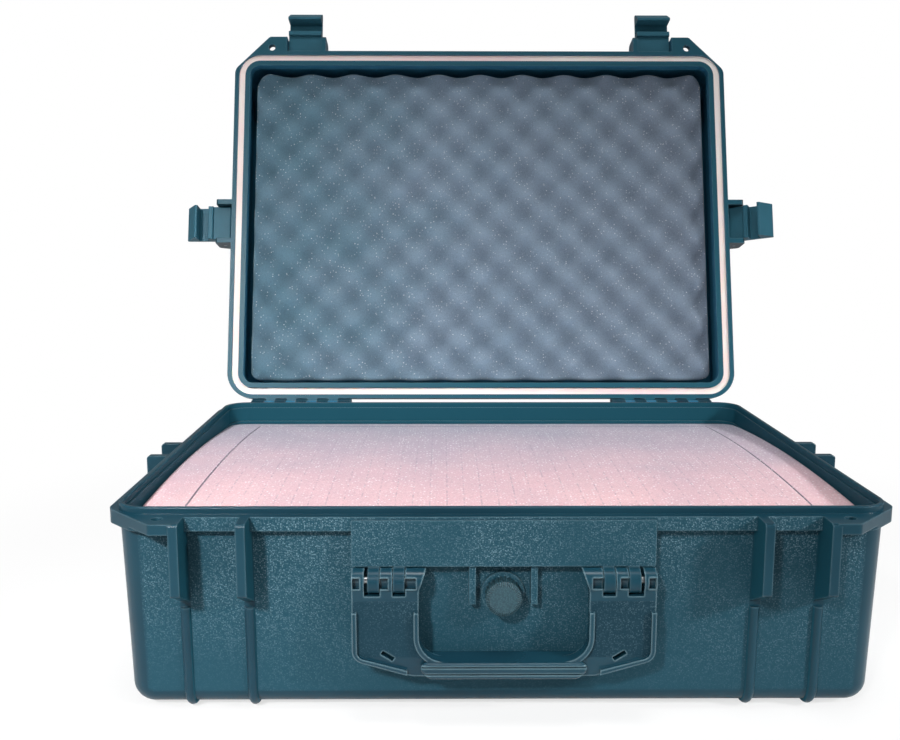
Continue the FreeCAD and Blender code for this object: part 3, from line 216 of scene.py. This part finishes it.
def plate_mask(tree, place, facing):
    """1 on the flat faces of the handle's plates, 0 on its knuckles, borders, edges and grip."""
    spot = node(tree, "SeparateXYZ", {0: place})
    way = node(tree, "SeparateXYZ", {0: facing})
    lean = node(tree, "Math", {0: way.outputs[1]}, operation="ABSOLUTE").outputs[0]
    mask = node(tree, "MapRange", {"Value": lean, "From Min": FLAT[0], "From Max": FLAT[1]}).outputs[0]
    far = node(tree, "Math", {0: spot.outputs[1]}, operation="ABSOLUTE").outputs[0]
    for value, limit, side in (
        (far, PLATE_FACE, "LESS_THAN"),
        (spot.outputs[2], PLATE_LOW, "GREATER_THAN"),
        (spot.outputs[2], PLATE_HIGH, "LESS_THAN"),
    ):
        part = node(tree, "Math", {0: value, 1: limit}, operation=side).outputs[0]
        mask = node(tree, "Math", {0: mask, 1: part}, operation="MULTIPLY").outputs[0]
    return mask


def pebble_crest_highlights(tree, place, mask, highlight_heights):
    """How pale the grain is at each spot: a painted highlight on the crests of pebbles, each by its own
    amount, strongest towards the upper of the two heights in fade, where more light falls, and thinner in
    patches."""
    height = node(tree, "SeparateXYZ", {0: place}).outputs[2]
    # Painted light: the crests' highlight grows towards the top, where more light falls.
    lit_from_above = node(tree, "MapRange", {
        "Value": height, "From Min": highlight_heights[0], "From Max": highlight_heights[1], "To Min": 0.15, "To Max": 1.0,
    }).outputs[0]
    drift = node(tree, "TexNoise", {"Vector": place, "Scale": per_mm(55), "Detail": 4}).outputs[0]
    patches = node(tree, "MapRange", {
        "Value": drift, "From Min": 0.38, "From Max": 0.6, "To Min": 0.4, "To Max": 1.0,
    }).outputs[0]
    # Pebbles stand about 1 mm apart.
    pebbles = node(tree, "TexVoronoi", {"Vector": place, "Scale": per_mm(1.0)})
    crest_bump_and_highlight = node(tree, "MapRange", {
        "Value": pebbles.outputs["Distance"], "From Min": 0.15, "From Max": 0.65,
        "To Min": 1.0, "To Max": 0.0,
    }).outputs[0]
    luck = node(tree, "SeparateXYZ", {0: pebbles.outputs["Color"]}).outputs[0]
    luck = node(tree, "MapRange", {
        "Value": luck, "From Min": 0.3, "From Max": 0.95, "To Min": 0.1,
    }).outputs[0]
    for share in (luck, mask, patches, lit_from_above):
        crest_bump_and_highlight = node(tree, "Math", {0: crest_bump_and_highlight, 1: share}, operation="MULTIPLY").outputs[0]
    return crest_bump_and_highlight


def pebbled_polypropylene(name, turn, highlight_heights, find_mask, gloss, shine, lit_inside_tones, edge, matt, edge_highlight_strength):
    """Injection-moulded polypropylene. The mould's etched faces leave a pebble grain on the outer flats,
    whose crests carry a painted highlight that reads as pale specks, and its smooth faces leave corners, ribs
    and the
    inside even: deep in colour outside, and painted lighter inside to lift its shade.
    Both gloss, a roughness, and shine, a specular level, are given for the smooth outside and the inside;
    core gives the colours of the inside and of its walls, painted lighter to lift their shade, edge the
    radius that rounds hard edges, matt the colour under the grain, and paler how strong the painted highlight
    on outstanding edges is."""
    finish, tree = finish_named(name)
    where = node(tree, "TexCoord")
    place = node(tree, "Mapping", {
        "Vector": where.outputs["Object"], "Location": shut_shift(turn), "Rotation": (-turn, 0, 0),
    }).outputs[0]
    facing = node(tree, "Mapping", {"Vector": where.outputs["Normal"], "Rotation": (-turn, 0, 0)}).outputs[0]
    mask = find_mask(tree, place, facing)
    crest_bump_and_highlight = pebble_crest_highlights(tree, place, mask, highlight_heights)
    bloom = node(tree, "TexNoise", {"Vector": place, "Scale": per_mm(150), "Detail": 3}).outputs[0]
    skin = node(tree, "ValToRGB", {"Fac": bloom}, [
        (0.35, "#0f313f"), (0.5, "#123644"), (0.65, "#163c4a"),
    ]).outputs["Color"]
    # The inside is painted clearer and bluer than the outside, most of all on the lid's walls, as painted
    # light that lifts the shade in the cavity.
    outward = node(tree, "VectorMath", {0: place, 1: facing}, operation="DOT_PRODUCT").outputs["Value"]
    inside = node(tree, "MapRange", {"Value": outward, "From Min": -0.02, "From Max": -0.1}).outputs[0]
    walls = node(tree, "MapRange", {"Value": outward, "From Min": -0.15, "From Max": -0.175}).outputs[0]
    inner = node(tree, "Mix", {
        "Factor": walls, "A": tone(lit_inside_tones[0]), "B": tone(lit_inside_tones[1]),
    }, data_type="RGBA").outputs[2]
    # Outstanding edges get a lighter tone, a painted highlight where they catch the light.
    proud = node(tree, "AmbientOcclusion", {"Distance": 1.3 * MM}, inside=True, only_local=True, samples=6)
    edges = node(tree, "MapRange", {
        "Value": proud.outputs["AO"], "From Min": 0.93, "From Max": 0.55, "To Max": edge_highlight_strength,
    }).outputs[0]
    colour = skin
    # Over the moulded colour go the inside, painted lighter to lift its shade, the matt colour under the
    # grain, the painted highlight on pebble crests and the painted highlight on outstanding edges.
    for share, over in (
        (inside, inner), (mask, tone(matt)), (crest_bump_and_highlight, tone("#718f9b")), (edges, tone("#87a9b4")),
    ):
        colour = node(tree, "Mix", {"Factor": share, "A": colour, "B": over}, data_type="RGBA").outputs[2]
    smooth = node(tree, "MapRange", {"Value": inside, "To Min": gloss[0], "To Max": gloss[1]}).outputs[0]
    rough = node(tree, "MapRange", {"Value": mask, "To Min": smooth, "To Max": 0.6}).outputs[0]
    level = node(tree, "MapRange", {"Value": inside, "To Min": shine[0], "To Max": shine[1]}).outputs[0]
    level = node(tree, "MapRange", {"Value": mask, "To Min": level, "To Max": 0.15}).outputs[0]
    flow = node(tree, "TexNoise", {"Vector": place, "Scale": per_mm(9), "Detail": 3}).outputs[0]
    lift = node(tree, "Math", {0: flow, 1: 0.25, 2: crest_bump_and_highlight}, operation="MULTIPLY_ADD").outputs[0]
    eased = node(tree, "Bevel", {"Radius": edge}, samples=4).outputs[0]
    bump = node(tree, "Bump", {
        "Height": lift, "Strength": 0.5, "Distance": 0.3 * MM, "Normal": eased,
    }).outputs[0]
    surface = node(tree, "BsdfPrincipled", {
        "Base Color": colour, "Roughness": rough, "IOR": 1.49, "Specular IOR Level": level, "Normal": bump,
    }).outputs[0]
    node(tree, "OutputMaterial", {"Surface": surface})
    return finish


def glossy_polypropylene(name, written, roughness):
    """Polypropylene from a polished mould: even, with soft highlights, faint flow marks and a fine orange
    peel, whose waves of 0.8 mm are drawn coarser than real so that they show."""
    finish, tree = finish_named(name)
    where = node(tree, "TexCoord").outputs["Object"]
    flow = node(tree, "TexNoise", {"Vector": where, "Scale": per_mm(18), "Detail": 4}).outputs[0]
    value = node(tree, "MapRange", {"Value": flow, "To Min": 0.85, "To Max": 1.15}).outputs[0]
    colour = node(tree, "HueSaturation", {"Value": value, "Color": tone(written)}).outputs[0]
    fine = node(tree, "TexNoise", {"Vector": where, "Scale": per_mm(0.8), "Detail": 2}).outputs[0]
    eased = node(tree, "Bevel", {"Radius": 0.6 * MM}, samples=4).outputs[0]
    bump = node(tree, "Bump", {
        "Height": fine, "Strength": 0.2, "Distance": 0.2 * MM, "Normal": eased,
    }).outputs[0]
    surface = node(tree, "BsdfPrincipled", {
        "Base Color": colour, "Roughness": roughness, "IOR": 1.49, "Specular IOR Level": 0.12, "Normal": bump,
    }).outputs[0]
    node(tree, "OutputMaterial", {"Surface": surface})
    return finish


def knurled_polypropylene():
    """The valve's knob, moulded with fine ridges round its skirt and a stippled face that greys it. The
    stipple's dots of 1.2 mm are drawn coarser than real so that they show."""
    finish, tree = finish_named("knurled_polypropylene")
    where = node(tree, "TexCoord").outputs["Object"]
    hub = node(tree, "Mapping", {"Vector": where, "Location": (0, 0, -KNOB_HEIGHT)}).outputs[0]
    axes = node(tree, "SeparateXYZ", {0: hub})
    round_it = node(tree, "Math", {0: axes.outputs[0], 1: axes.outputs[2]}, operation="ARCTAN2").outputs[0]
    ridge = node(tree, "Math", {0: round_it, 1: KNOB_RIDGES}, operation="MULTIPLY").outputs[0]
    ridge = node(tree, "Math", {0: ridge}, operation="SINE").outputs[0]
    flat = node(tree, "CombineXYZ", {0: axes.outputs[0], 2: axes.outputs[2]}).outputs[0]
    out = node(tree, "VectorMath", {0: flat}, operation="LENGTH").outputs["Value"]
    skirt = node(tree, "MapRange", {
        "Value": out, "From Min": KNOB_SKIRT[0], "From Max": KNOB_SKIRT[1],
    }).outputs[0]
    ridge = node(tree, "Math", {0: ridge, 1: skirt}, operation="MULTIPLY").outputs[0]
    stipple = node(tree, "TexVoronoi", {"Vector": where, "Scale": per_mm(1.2)}).outputs["Distance"]
    lift = node(tree, "Math", {0: ridge, 1: 0.5, 2: stipple}, operation="MULTIPLY_ADD").outputs[0]
    colour = node(tree, "ValToRGB", {"Fac": stipple}, [
        (0.15, "#365861"), (0.6, "#274752"), (0.9, "#213f4a"),
    ]).outputs["Color"]
    # The troughs between the skirt's ridges are painted darker, as painted shade.
    trough_shade = node(tree, "MapRange", {
        "Value": ridge, "From Min": -1.0, "From Max": 0.3, "To Min": 0.5,
    }).outputs[0]
    colour = node(tree, "HueSaturation", {"Value": trough_shade, "Color": colour}).outputs[0]
    bump = node(tree, "Bump", {"Height": lift, "Strength": 0.7, "Distance": 0.5 * MM}).outputs[0]
    surface = node(tree, "BsdfPrincipled", {
        "Base Color": colour, "Roughness": 0.5, "IOR": 1.49, "Specular IOR Level": 0.4, "Normal": bump,
    }).outputs[0]
    node(tree, "OutputMaterial", {"Surface": surface})
    return finish


def moulded_silicone():
    """Moulded silicone, as of the lid's seal: soft pale pink with a waxy sheen."""
    finish, tree = finish_named("moulded_silicone")
    where = node(tree, "TexCoord").outputs["Object"]
    drift = node(tree, "TexNoise", {"Vector": where, "Scale": per_mm(120), "Detail": 2}).outputs[0]
    colour = node(tree, "ValToRGB", {"Fac": drift}, [
        (0.35, "#f8dcdb"), (0.5, "#fbe9e3"), (0.65, "#fdf4ee"),
    ]).outputs["Color"]
    surface = node(tree, "BsdfPrincipled", {
        "Base Color": colour, "Roughness": 0.5, "IOR": 1.41, "Subsurface Weight": 0.1,
        "Subsurface Scale": 2 * MM,
    }).outputs[0]
    node(tree, "OutputMaterial", {"Surface": surface})
    return finish


def pluck_cuts(tree, where, colour):
    """Cuts of the blade in the base's foam, drawn as painted shade in the slits: rows of fine dark dashes,
    the two long scores and the cross score."""
    axes = node(tree, "SeparateXYZ", {0: where})
    far = node(tree, "Math", {0: axes.outputs[0]}, operation="ABSOLUTE").outputs[0]
    inside = node(tree, "Math", {0: far, 1: SCORE_X}, operation="LESS_THAN").outputs[0]
    before = node(tree, "Math", {0: axes.outputs[1], 1: SCORE_Y}, operation="LESS_THAN").outputs[0]
    across = node(tree, "Math", {0: axes.outputs[0], 1: PLUCK_HALF_PITCH}, operation="PINGPONG").outputs[0]
    # Painted shade in the slits of the pluck rows, as fine dark dashes.
    cut = node(tree, "MapRange", {
        "Value": across, "From Min": 0.25 * MM, "From Max": 0.8 * MM, "To Min": 1.0, "To Max": 0.0,
    }).outputs[0]
    dash = node(tree, "TexNoise", {"Vector": where, "Scale": per_mm(5), "Detail": 1}).outputs[0]
    dash = node(tree, "MapRange", {
        "Value": dash, "From Min": 0.45, "From Max": 0.6, "To Max": 0.38,
    }).outputs[0]
    for share in (dash, inside):
        cut = node(tree, "Math", {0: cut, 1: share}, operation="MULTIPLY").outputs[0]
    colour = node(tree, "Mix", {
        "Factor": cut, "A": colour, "B": tone("#77717f"),
    }, data_type="RGBA").outputs[2]
    # Painted shade along the long scores and the cross score.
    for place, score, reach in ((far, SCORE_X, before), (axes.outputs[1], SCORE_Y, inside)):
        gap = node(tree, "Math", {0: place, 1: score}, operation="SUBTRACT").outputs[0]
        gap = node(tree, "Math", {0: gap}, operation="ABSOLUTE").outputs[0]
        cut = node(tree, "MapRange", {
            "Value": gap, "From Min": 0.5 * MM, "From Max": 1.2 * MM, "To Min": 0.85, "To Max": 0.0,
        }).outputs[0]
        cut = node(tree, "Math", {0: cut, 1: reach}, operation="MULTIPLY").outputs[0]
        colour = node(tree, "Mix", {
            "Factor": cut, "A": colour, "B": tone("#66636f"),
        }, data_type="RGBA").outputs[2]
    return colour


def egg_crate_hollow_shade(tree, where, colour):
    """Painted shade on the lid's foam: its hollows a little darker than its peaks."""
    shut = node(tree, "Mapping", {
        "Vector": where, "Location": shut_shift(LID_OPEN), "Rotation": (-LID_OPEN, 0, 0),
    }).outputs[0]
    level = node(tree, "SeparateXYZ", {0: shut}).outputs[2]
    shadow = node(tree, "MapRange", {
        "Value": level, "From Min": EGG_CRATE[0] - EGG_CRATE[1], "From Max": EGG_CRATE[0] + EGG_CRATE[1],
        "To Min": 1.02, "To Max": 0.9,
    }).outputs[0]
    return node(tree, "HueSaturation", {"Value": shadow, "Color": colour}).outputs[0]


def open_cell_foam(name, tones, span, axis, glints, detail=None, cell=1.2, soak=4):
    """Open-cell foam, cut with a blade: dull, pitted by its cells, with cell walls that glint as white
    specks, which are painted highlights. The tones run over a span, in metres, along an axis, as painted
    light and shade that is lighter where more light falls. glints gives the specks' spacing in
    millimetres, their reach as a share of it and their strength. The cells, in millimetres too, are drawn
    coarser than the real ones so that they show. A detail is a function that paints more on the colour."""
    finish, tree = finish_named(name)
    where = node(tree, "TexCoord").outputs["Object"]
    axes = node(tree, "SeparateXYZ", {0: where})
    cells = node(tree, "TexVoronoi", {"Vector": where, "Scale": per_mm(cell)}).outputs["Distance"]
    drift = node(tree, "TexNoise", {"Vector": where, "Scale": per_mm(80), "Detail": 5}).outputs[0]
    # The tones change along the axis as painted light and shade, with a random drift mixed in.
    run = node(tree, "MapRange", {
        "Value": axes.outputs[axis], "From Min": span[0], "From Max": span[1],
    }).outputs[0]
    run = node(tree, "Math", {0: drift, 1: 0.5, 2: run}, operation="MULTIPLY_ADD").outputs[0]
    run = node(tree, "Math", {0: run, 1: 0.25}, operation="SUBTRACT").outputs[0]
    colour = node(tree, "ValToRGB", {"Fac": run}, tones).outputs["Color"]
    pits = node(tree, "ValToRGB", {"Fac": cells}, [(0.2, "#ffffff"), (0.9, "#a4a4a8")]).outputs["Color"]
    colour = node(tree, "Mix", {
        "Factor": 0.3, "A": colour, "B": pits,
    }, data_type="RGBA", blend_type="MULTIPLY").outputs[2]
    if detail:
        colour = detail(tree, where, colour)
    spacing, reach, strength = glints
    # Painted highlights: the cell walls' glints as white specks.
    walls = node(tree, "TexVoronoi", {"Vector": where, "Scale": per_mm(spacing)})
    near = node(tree, "MapRange", {
        "Value": walls.outputs["Distance"], "From Min": 0.07, "From Max": reach, "To Min": 1.0, "To Max": 0.0,
    }).outputs[0]
    pick = node(tree, "SeparateXYZ", {0: walls.outputs["Color"]}).outputs[0]
    chosen = node(tree, "MapRange", {
        "Value": pick, "From Min": 0.25, "From Max": 0.9, "To Max": strength,
    }).outputs[0]
    glint = node(tree, "Math", {0: near, 1: chosen}, operation="MULTIPLY").outputs[0]
    colour = node(tree, "Mix", {
        "Factor": glint, "A": colour, "B": tone("#f4f6f8"),
    }, data_type="RGBA").outputs[2]
    bump = node(tree, "Bump", {"Height": cells, "Strength": 0.5, "Distance": 0.4 * MM}).outputs[0]
    # Light wanders a few millimetres through the open cells, which softens hollows and cuts.
    surface = node(tree, "BsdfPrincipled", {
        "Base Color": colour, "Roughness": 0.95, "Normal": bump, "Sheen Weight": 0.1,
        "Sheen Roughness": 0.6, "Subsurface Weight": 0.7, "Subsurface Radius": (1, 1, 1),
        "Subsurface Scale": soak * MM,
    }).outputs[0]
    node(tree, "OutputMaterial", {"Surface": surface})
    return finish


def turned_metal(name, written, roughness):
    """Metal turned or drawn to size: bright, with a fine unevenness that blurs its highlights. Its waves of
    0.5 mm are drawn coarser than a tool leaves them so that they show."""
    finish, tree = finish_named(name)
    where = node(tree, "TexCoord").outputs["Object"]
    marks = node(tree, "TexNoise", {"Vector": where, "Scale": per_mm(0.5), "Detail": 2}).outputs[0]
    bump = node(tree, "Bump", {"Height": marks, "Strength": 0.15, "Distance": 0.05 * MM}).outputs[0]
    surface = node(tree, "BsdfPrincipled", {
        "Base Color": tone(written), "Metallic": 1.0, "Roughness": roughness, "Normal": bump,
    }).outputs[0]
    node(tree, "OutputMaterial", {"Surface": surface})
    return finish


def dress(names, finish):
    """Give CAD nodes one finish in every slot."""
    for name in names:
        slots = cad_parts[name].data.materials
        if not slots:
            slots.append(finish)
        for number in range(len(slots)):
            slots[number] = finish


# Pieces

def piece_from(bm, name, finish, body, smooth=True):
    """Turn a bmesh into a named piece that rides on a body."""
    mesh = bpy.data.meshes.new(name)
    bmesh.ops.recalc_face_normals(bm, faces=bm.faces)
    bm.to_mesh(mesh)
    bm.free()
    for face in mesh.polygons:
        face.use_smooth = smooth
    piece = bpy.data.objects.new(name, mesh)
    bpy.context.scene.collection.objects.link(piece)
    mesh.materials.append(finish)
    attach(piece, body)
    return piece


def round_corner(spot, half, rounding):
    """Draw a point of a rectangle in towards its centre where its corner is rounded."""
    inner = [half[i] - rounding for i in range(2)]
    over = [(abs(spot[i]) - inner[i]) / rounding for i in range(2)]
    if min(over) <= 0:
        return
    for i in range(2):
        reach = over[i] * math.sqrt(max(0, 1 - over[1 - i] ** 2 / 2))
        spot[i] = math.copysign(inner[i] + reach * rounding, spot[i])


def cut_sheet(half, cells, rounding):
    """A flat grid of half-size half, in metres, with rounded corners."""
    bm = bmesh.new()
    bmesh.ops.create_grid(bm, x_segments=cells[0], y_segments=cells[1], size=1)
    bmesh.ops.scale(bm, vec=(half[0], half[1], 1), verts=bm.verts)
    for vert in bm.verts:
        round_corner(vert.co, half, rounding if vert.co.y > 0 else rounding * FRONT_CORNER_SHARE)
    return bm


def thicken(bm, level, inset=0.0):
    """Give a sheet sides and a flat far face at a level."""
    rim = [edge for edge in bm.edges if edge.is_boundary]
    grown = bmesh.ops.extrude_edge_only(bm, edges=rim)["geom"]
    for vert in (v for v in grown if isinstance(v, bmesh.types.BMVert)):
        vert.co.z = level
        away = Vector((vert.co.x, vert.co.y, 0))
        vert.co -= away.normalized() * inset
    far = [e for e in grown if isinstance(e, bmesh.types.BMEdge)]
    bmesh.ops.holes_fill(bm, edges=far, sides=0)


def lid_egg_crate(finish):
    """Convoluted foam in the lid: rows of rounded peaks and hollows, cut square at its edges."""
    bm = cut_sheet(EGG_HALF, EGG_CELLS, EGG_CORNER)
    middle, swing = EGG_CRATE
    for vert in bm.verts:
        across = math.cos(math.pi * (vert.co.x + EGG_PEAK[0]) / EGG_PITCH)
        along = math.cos(math.pi * (vert.co.y + EGG_PEAK[1]) / EGG_PITCH)
        vert.co.z = middle - swing * across * along
    thicken(bm, EGG_BACK)
    bmesh.ops.rotate(bm, verts=bm.verts, cent=HINGE_LINE, matrix=Matrix.Rotation(LID_OPEN, 3, "X"))
    piece = piece_from(bm, "lid_egg_crate", finish, "lid")
    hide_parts("lid_foam")


def crown(y):
    """Height of the base foam's crowned top."""
    return CROWN_HEIGHT - CROWN_FALL * y - y * y / (2 * CROWN_RADIUS)


def base_pluck_foam(finish):
    """Foam block of the base: crowned top, scored for plucking."""
    low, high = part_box("base_foam_block")
    bm = cut_sheet((high.x - FOAM_PLAY, high.y - FOAM_PLAY), BLOCK_CELLS, BLOCK_CORNER)
    # Each score gets three lines of points: its middle, which sinks, and both its edges.
    for axis, middle in ((0, -SCORE_X), (0, SCORE_X), (1, SCORE_Y)):
        for step in (-SCORE_HALF, 0, SCORE_HALF):
            spot = [0, 0, 0]
            across = [0, 0, 0]
            spot[axis] = middle + step
            across[axis] = 1
            whole = list(bm.verts) + list(bm.edges) + list(bm.faces)
            bmesh.ops.bisect_plane(bm, geom=whole, plane_co=spot, plane_no=across)
    for vert in bm.verts:
        vert.co.z = crown(vert.co.y)
        if abs(abs(vert.co.x) - SCORE_X) < SCORE_TOUCH and vert.co.y < SCORE_Y:
            vert.co.z -= SCORE_DEPTH
        elif abs(vert.co.y - SCORE_Y) < SCORE_TOUCH and abs(vert.co.x) < SCORE_X:
            vert.co.z -= CROSS_DEPTH
    thicken(bm, low.z, BLOCK_FOOT)
    piece = piece_from(bm, "base_pluck_foam", finish, "base")
    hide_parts("base_foam_block")


def base_floor_pad(finish):
    """Plain sheet of foam under the block."""
    low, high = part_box("base_foam_floor")
    bm = cut_sheet((high.x - FOAM_PLAY, high.y - FOAM_PLAY), PAD_CELLS, PAD_CORNER)
    for vert in bm.verts:
        vert.co.z = high.z
    thicken(bm, low.z)
    piece = piece_from(bm, "base_floor_pad", finish, "base", smooth=False)
    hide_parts("base_foam_floor")


# Room, light and camera

def white_floor():
    """A plain pale floor that keeps the case's shadow near it and runs out to white. Only the camera and
    rays that pass through glass see its white glow, and mirrored rays don't."""
    finish, tree = finish_named("matt_white_floor")
    light = node(tree, "LightPath")
    seen = node(tree, "Math", {
        0: light.outputs["Is Camera Ray"], 1: light.outputs["Is Transmission Ray"],
    }, operation="MAXIMUM").outputs[0]
    spot = node(tree, "TexCoord").outputs["Object"]
    away = node(tree, "VectorMath", {0: spot}, operation="LENGTH").outputs["Value"]
    share = node(tree, "MapRange", {
        "Value": away, "From Min": 0.2, "From Max": 0.75, "To Min": 0.68, "To Max": 1.0,
    }, interpolation_type="SMOOTHSTEP").outputs[0]
    share = node(tree, "Math", {0: seen, 1: share}, operation="MULTIPLY").outputs[0]
    matt = node(tree, "BsdfDiffuse", {"Color": tone("#f4f4f4")})
    glow = node(tree, "Emission", {"Color": tone("#ffffff"), "Strength": 1.0})
    both = node(tree, "MixShader", {0: share, 1: matt.outputs[0], 2: glow.outputs[0]})
    node(tree, "OutputMaterial", {"Surface": both.outputs[0]})
    bm = bmesh.new()
    bmesh.ops.create_grid(bm, x_segments=2, y_segments=2, size=FLOOR_HALF)
    bmesh.ops.translate(bm, verts=bm.verts, vec=(0, 0, CAD_BOX[0][2]))
    mesh = bpy.data.meshes.new("studio_floor")
    bm.to_mesh(mesh)
    bm.free()
    floor = bpy.data.objects.new("studio_floor", mesh)
    mesh.materials.append(finish)
    bpy.context.scene.collection.objects.link(floor)


def studio_air():
    """Even, dim white surroundings; what the camera sees of them is plain white."""
    world = bpy.data.worlds.new("studio_air")
    world.use_nodes = True
    tree = world.node_tree
    tree.nodes.clear()
    light = node(tree, "LightPath")
    seen = node(tree, "Math", {
        0: light.outputs["Is Camera Ray"], 1: light.outputs["Is Transmission Ray"],
    }, operation="MAXIMUM").outputs[0]
    strength = node(tree, "MapRange", {"Value": seen, "To Min": 0.25, "To Max": 1.0}).outputs[0]
    sky = node(tree, "Background", {"Color": tone("#ffffff"), "Strength": strength}).outputs[0]
    node(tree, "OutputWorld", {"Surface": sky})
    bpy.context.scene.world = world


def soft_box(name, spot, aim, width, watts, spread):
    """A square lamp at a spot, in metres, that looks at an aim and throws its light over a spread in
    degrees."""
    lamp = bpy.data.lights.new(name, "AREA")
    lamp.shape = "SQUARE"
    lamp.size = width
    lamp.energy = watts
    lamp.spread = math.radians(spread)
    holder = bpy.data.objects.new(name, lamp)
    holder.location = spot
    holder.rotation_euler = (Vector(aim) - Vector(spot)).to_track_quat("-Z", "Y").to_euler()
    bpy.context.scene.collection.objects.link(holder)


def place_camera():
    """The camera stands where the photo was taken from."""
    lens = bpy.data.cameras.new("camera")
    lens.lens = CAMERA_LENS
    lens.sensor_width = CAMERA_FILM
    camera = bpy.data.objects.new("camera", lens)
    camera.location = CAMERA_SPOT
    camera.rotation_euler = [math.radians(turn) for turn in (90 - CAMERA_DOWN, CAMERA_ROLL, CAMERA_TURN)]
    bpy.context.scene.collection.objects.link(camera)
    bpy.context.scene.camera = camera


# The case is dressed

LATCHES = ["front_left", "front_right", "side_left", "side_right"]
dress(["base_shell"], pebbled_polypropylene(
    "pebbled_polypropylene_base", turn=0.0, highlight_heights=(0.015, 0.125), find_mask=grain_mask, gloss=(0.3, 0.5),
    shine=(0.2, 0.06), lit_inside_tones=("#1c4b5a", "#1c4b5a"), edge=0.9 * MM, matt="#1b4250", edge_highlight_strength=0.14,
))
dress(["lid_shell"], pebbled_polypropylene(
    "pebbled_polypropylene_lid", turn=LID_OPEN, highlight_heights=(0.0, 0.1), find_mask=grain_mask, gloss=(0.32, 0.36),
    shine=(0.2, 0.16), lit_inside_tones=("#205465", "#326f8c"), edge=0.9 * MM, matt="#1b4250", edge_highlight_strength=0.14,
))
dress(["handle"], pebbled_polypropylene(
    "pebbled_polypropylene_handle", turn=0.0, highlight_heights=(0.04, 0.2), find_mask=plate_mask, gloss=(0.22, 0.22),
    shine=(0.3, 0.3), lit_inside_tones=("#12323f", "#12323f"), edge=1.5 * MM, matt="#12323f", edge_highlight_strength=0.38,
))
dress([f"latch_{name}" for name in LATCHES], glossy_polypropylene("polished_polypropylene", "#316577", 0.38))
dress(["valve_knob"], knurled_polypropylene())
dress(["lid_seal", "valve_o_ring", "valve_washer"], moulded_silicone())
dress(["valve_bush", "valve_nut"], turned_metal("turned_brass", "#b99a52", 0.3))
dress(
    ["hinge_pin_left", "hinge_pin_right", "handle_pin_left", "handle_pin_right"]
    + [f"latch_pin_{name}" for name in LATCHES],
    turned_metal("drawn_stainless_steel", "#b9bcbe", 0.3),
)
sheet_tones = [(0.0, "#e9e9e7"), (0.5, "#ececea"), (1.0, "#e6e6e4")]
dress(["valve_membrane"], open_cell_foam(
    "expanded_ptfe_sheet", sheet_tones, span=(-0.2, -0.17), axis=1, glints=(4, 0.24, 0.7), cell=0.6,
))

# The pink foam is painted lighter and pinker at the front and darker and greyer towards the back, as painted
# light and shade.
pink_tones = [(0.0, "#e8bbbf"), (0.33, "#ceaab4"), (0.58, "#b09dab"), (1.0, "#8f8d9e")]
pink = open_cell_foam(
    "pink_grey_polyurethane_foam", pink_tones, span=(-0.18, 0.17), axis=1, glints=(2.6, 0.34, 1.0),
    detail=pluck_cuts,
)
# The slate foam is painted darker towards the left, as painted shade.
slate_tones = [(0.1, "#587a8b"), (0.45, "#768a9c"), (0.9, "#778697")]
slate = open_cell_foam(
    "slate_polyurethane_foam", slate_tones, span=(-0.3, 0.3), axis=0, glints=(3.0, 0.24, 0.7),
    detail=egg_crate_hollow_shade, soak=10,
)
lid_egg_crate(slate)
base_pluck_foam(pink)
base_floor_pad(pink)

white_floor()
studio_air()
soft_box("left_light", spot=(-0.85, -1.95, 1.45), aim=(-0.3, -0.1, 0.04), width=0.2, watts=2.5, spread=34)
soft_box("right_light", spot=(1.75, -1.15, 1.1), aim=(0.33, -0.1, 0.06), width=0.24, watts=1.5, spread=34)
soft_box("top_light", spot=(0.1, -0.5, 2.4), aim=(0, 0, 0.1), width=0.7, watts=18, spread=180)
place_camera()
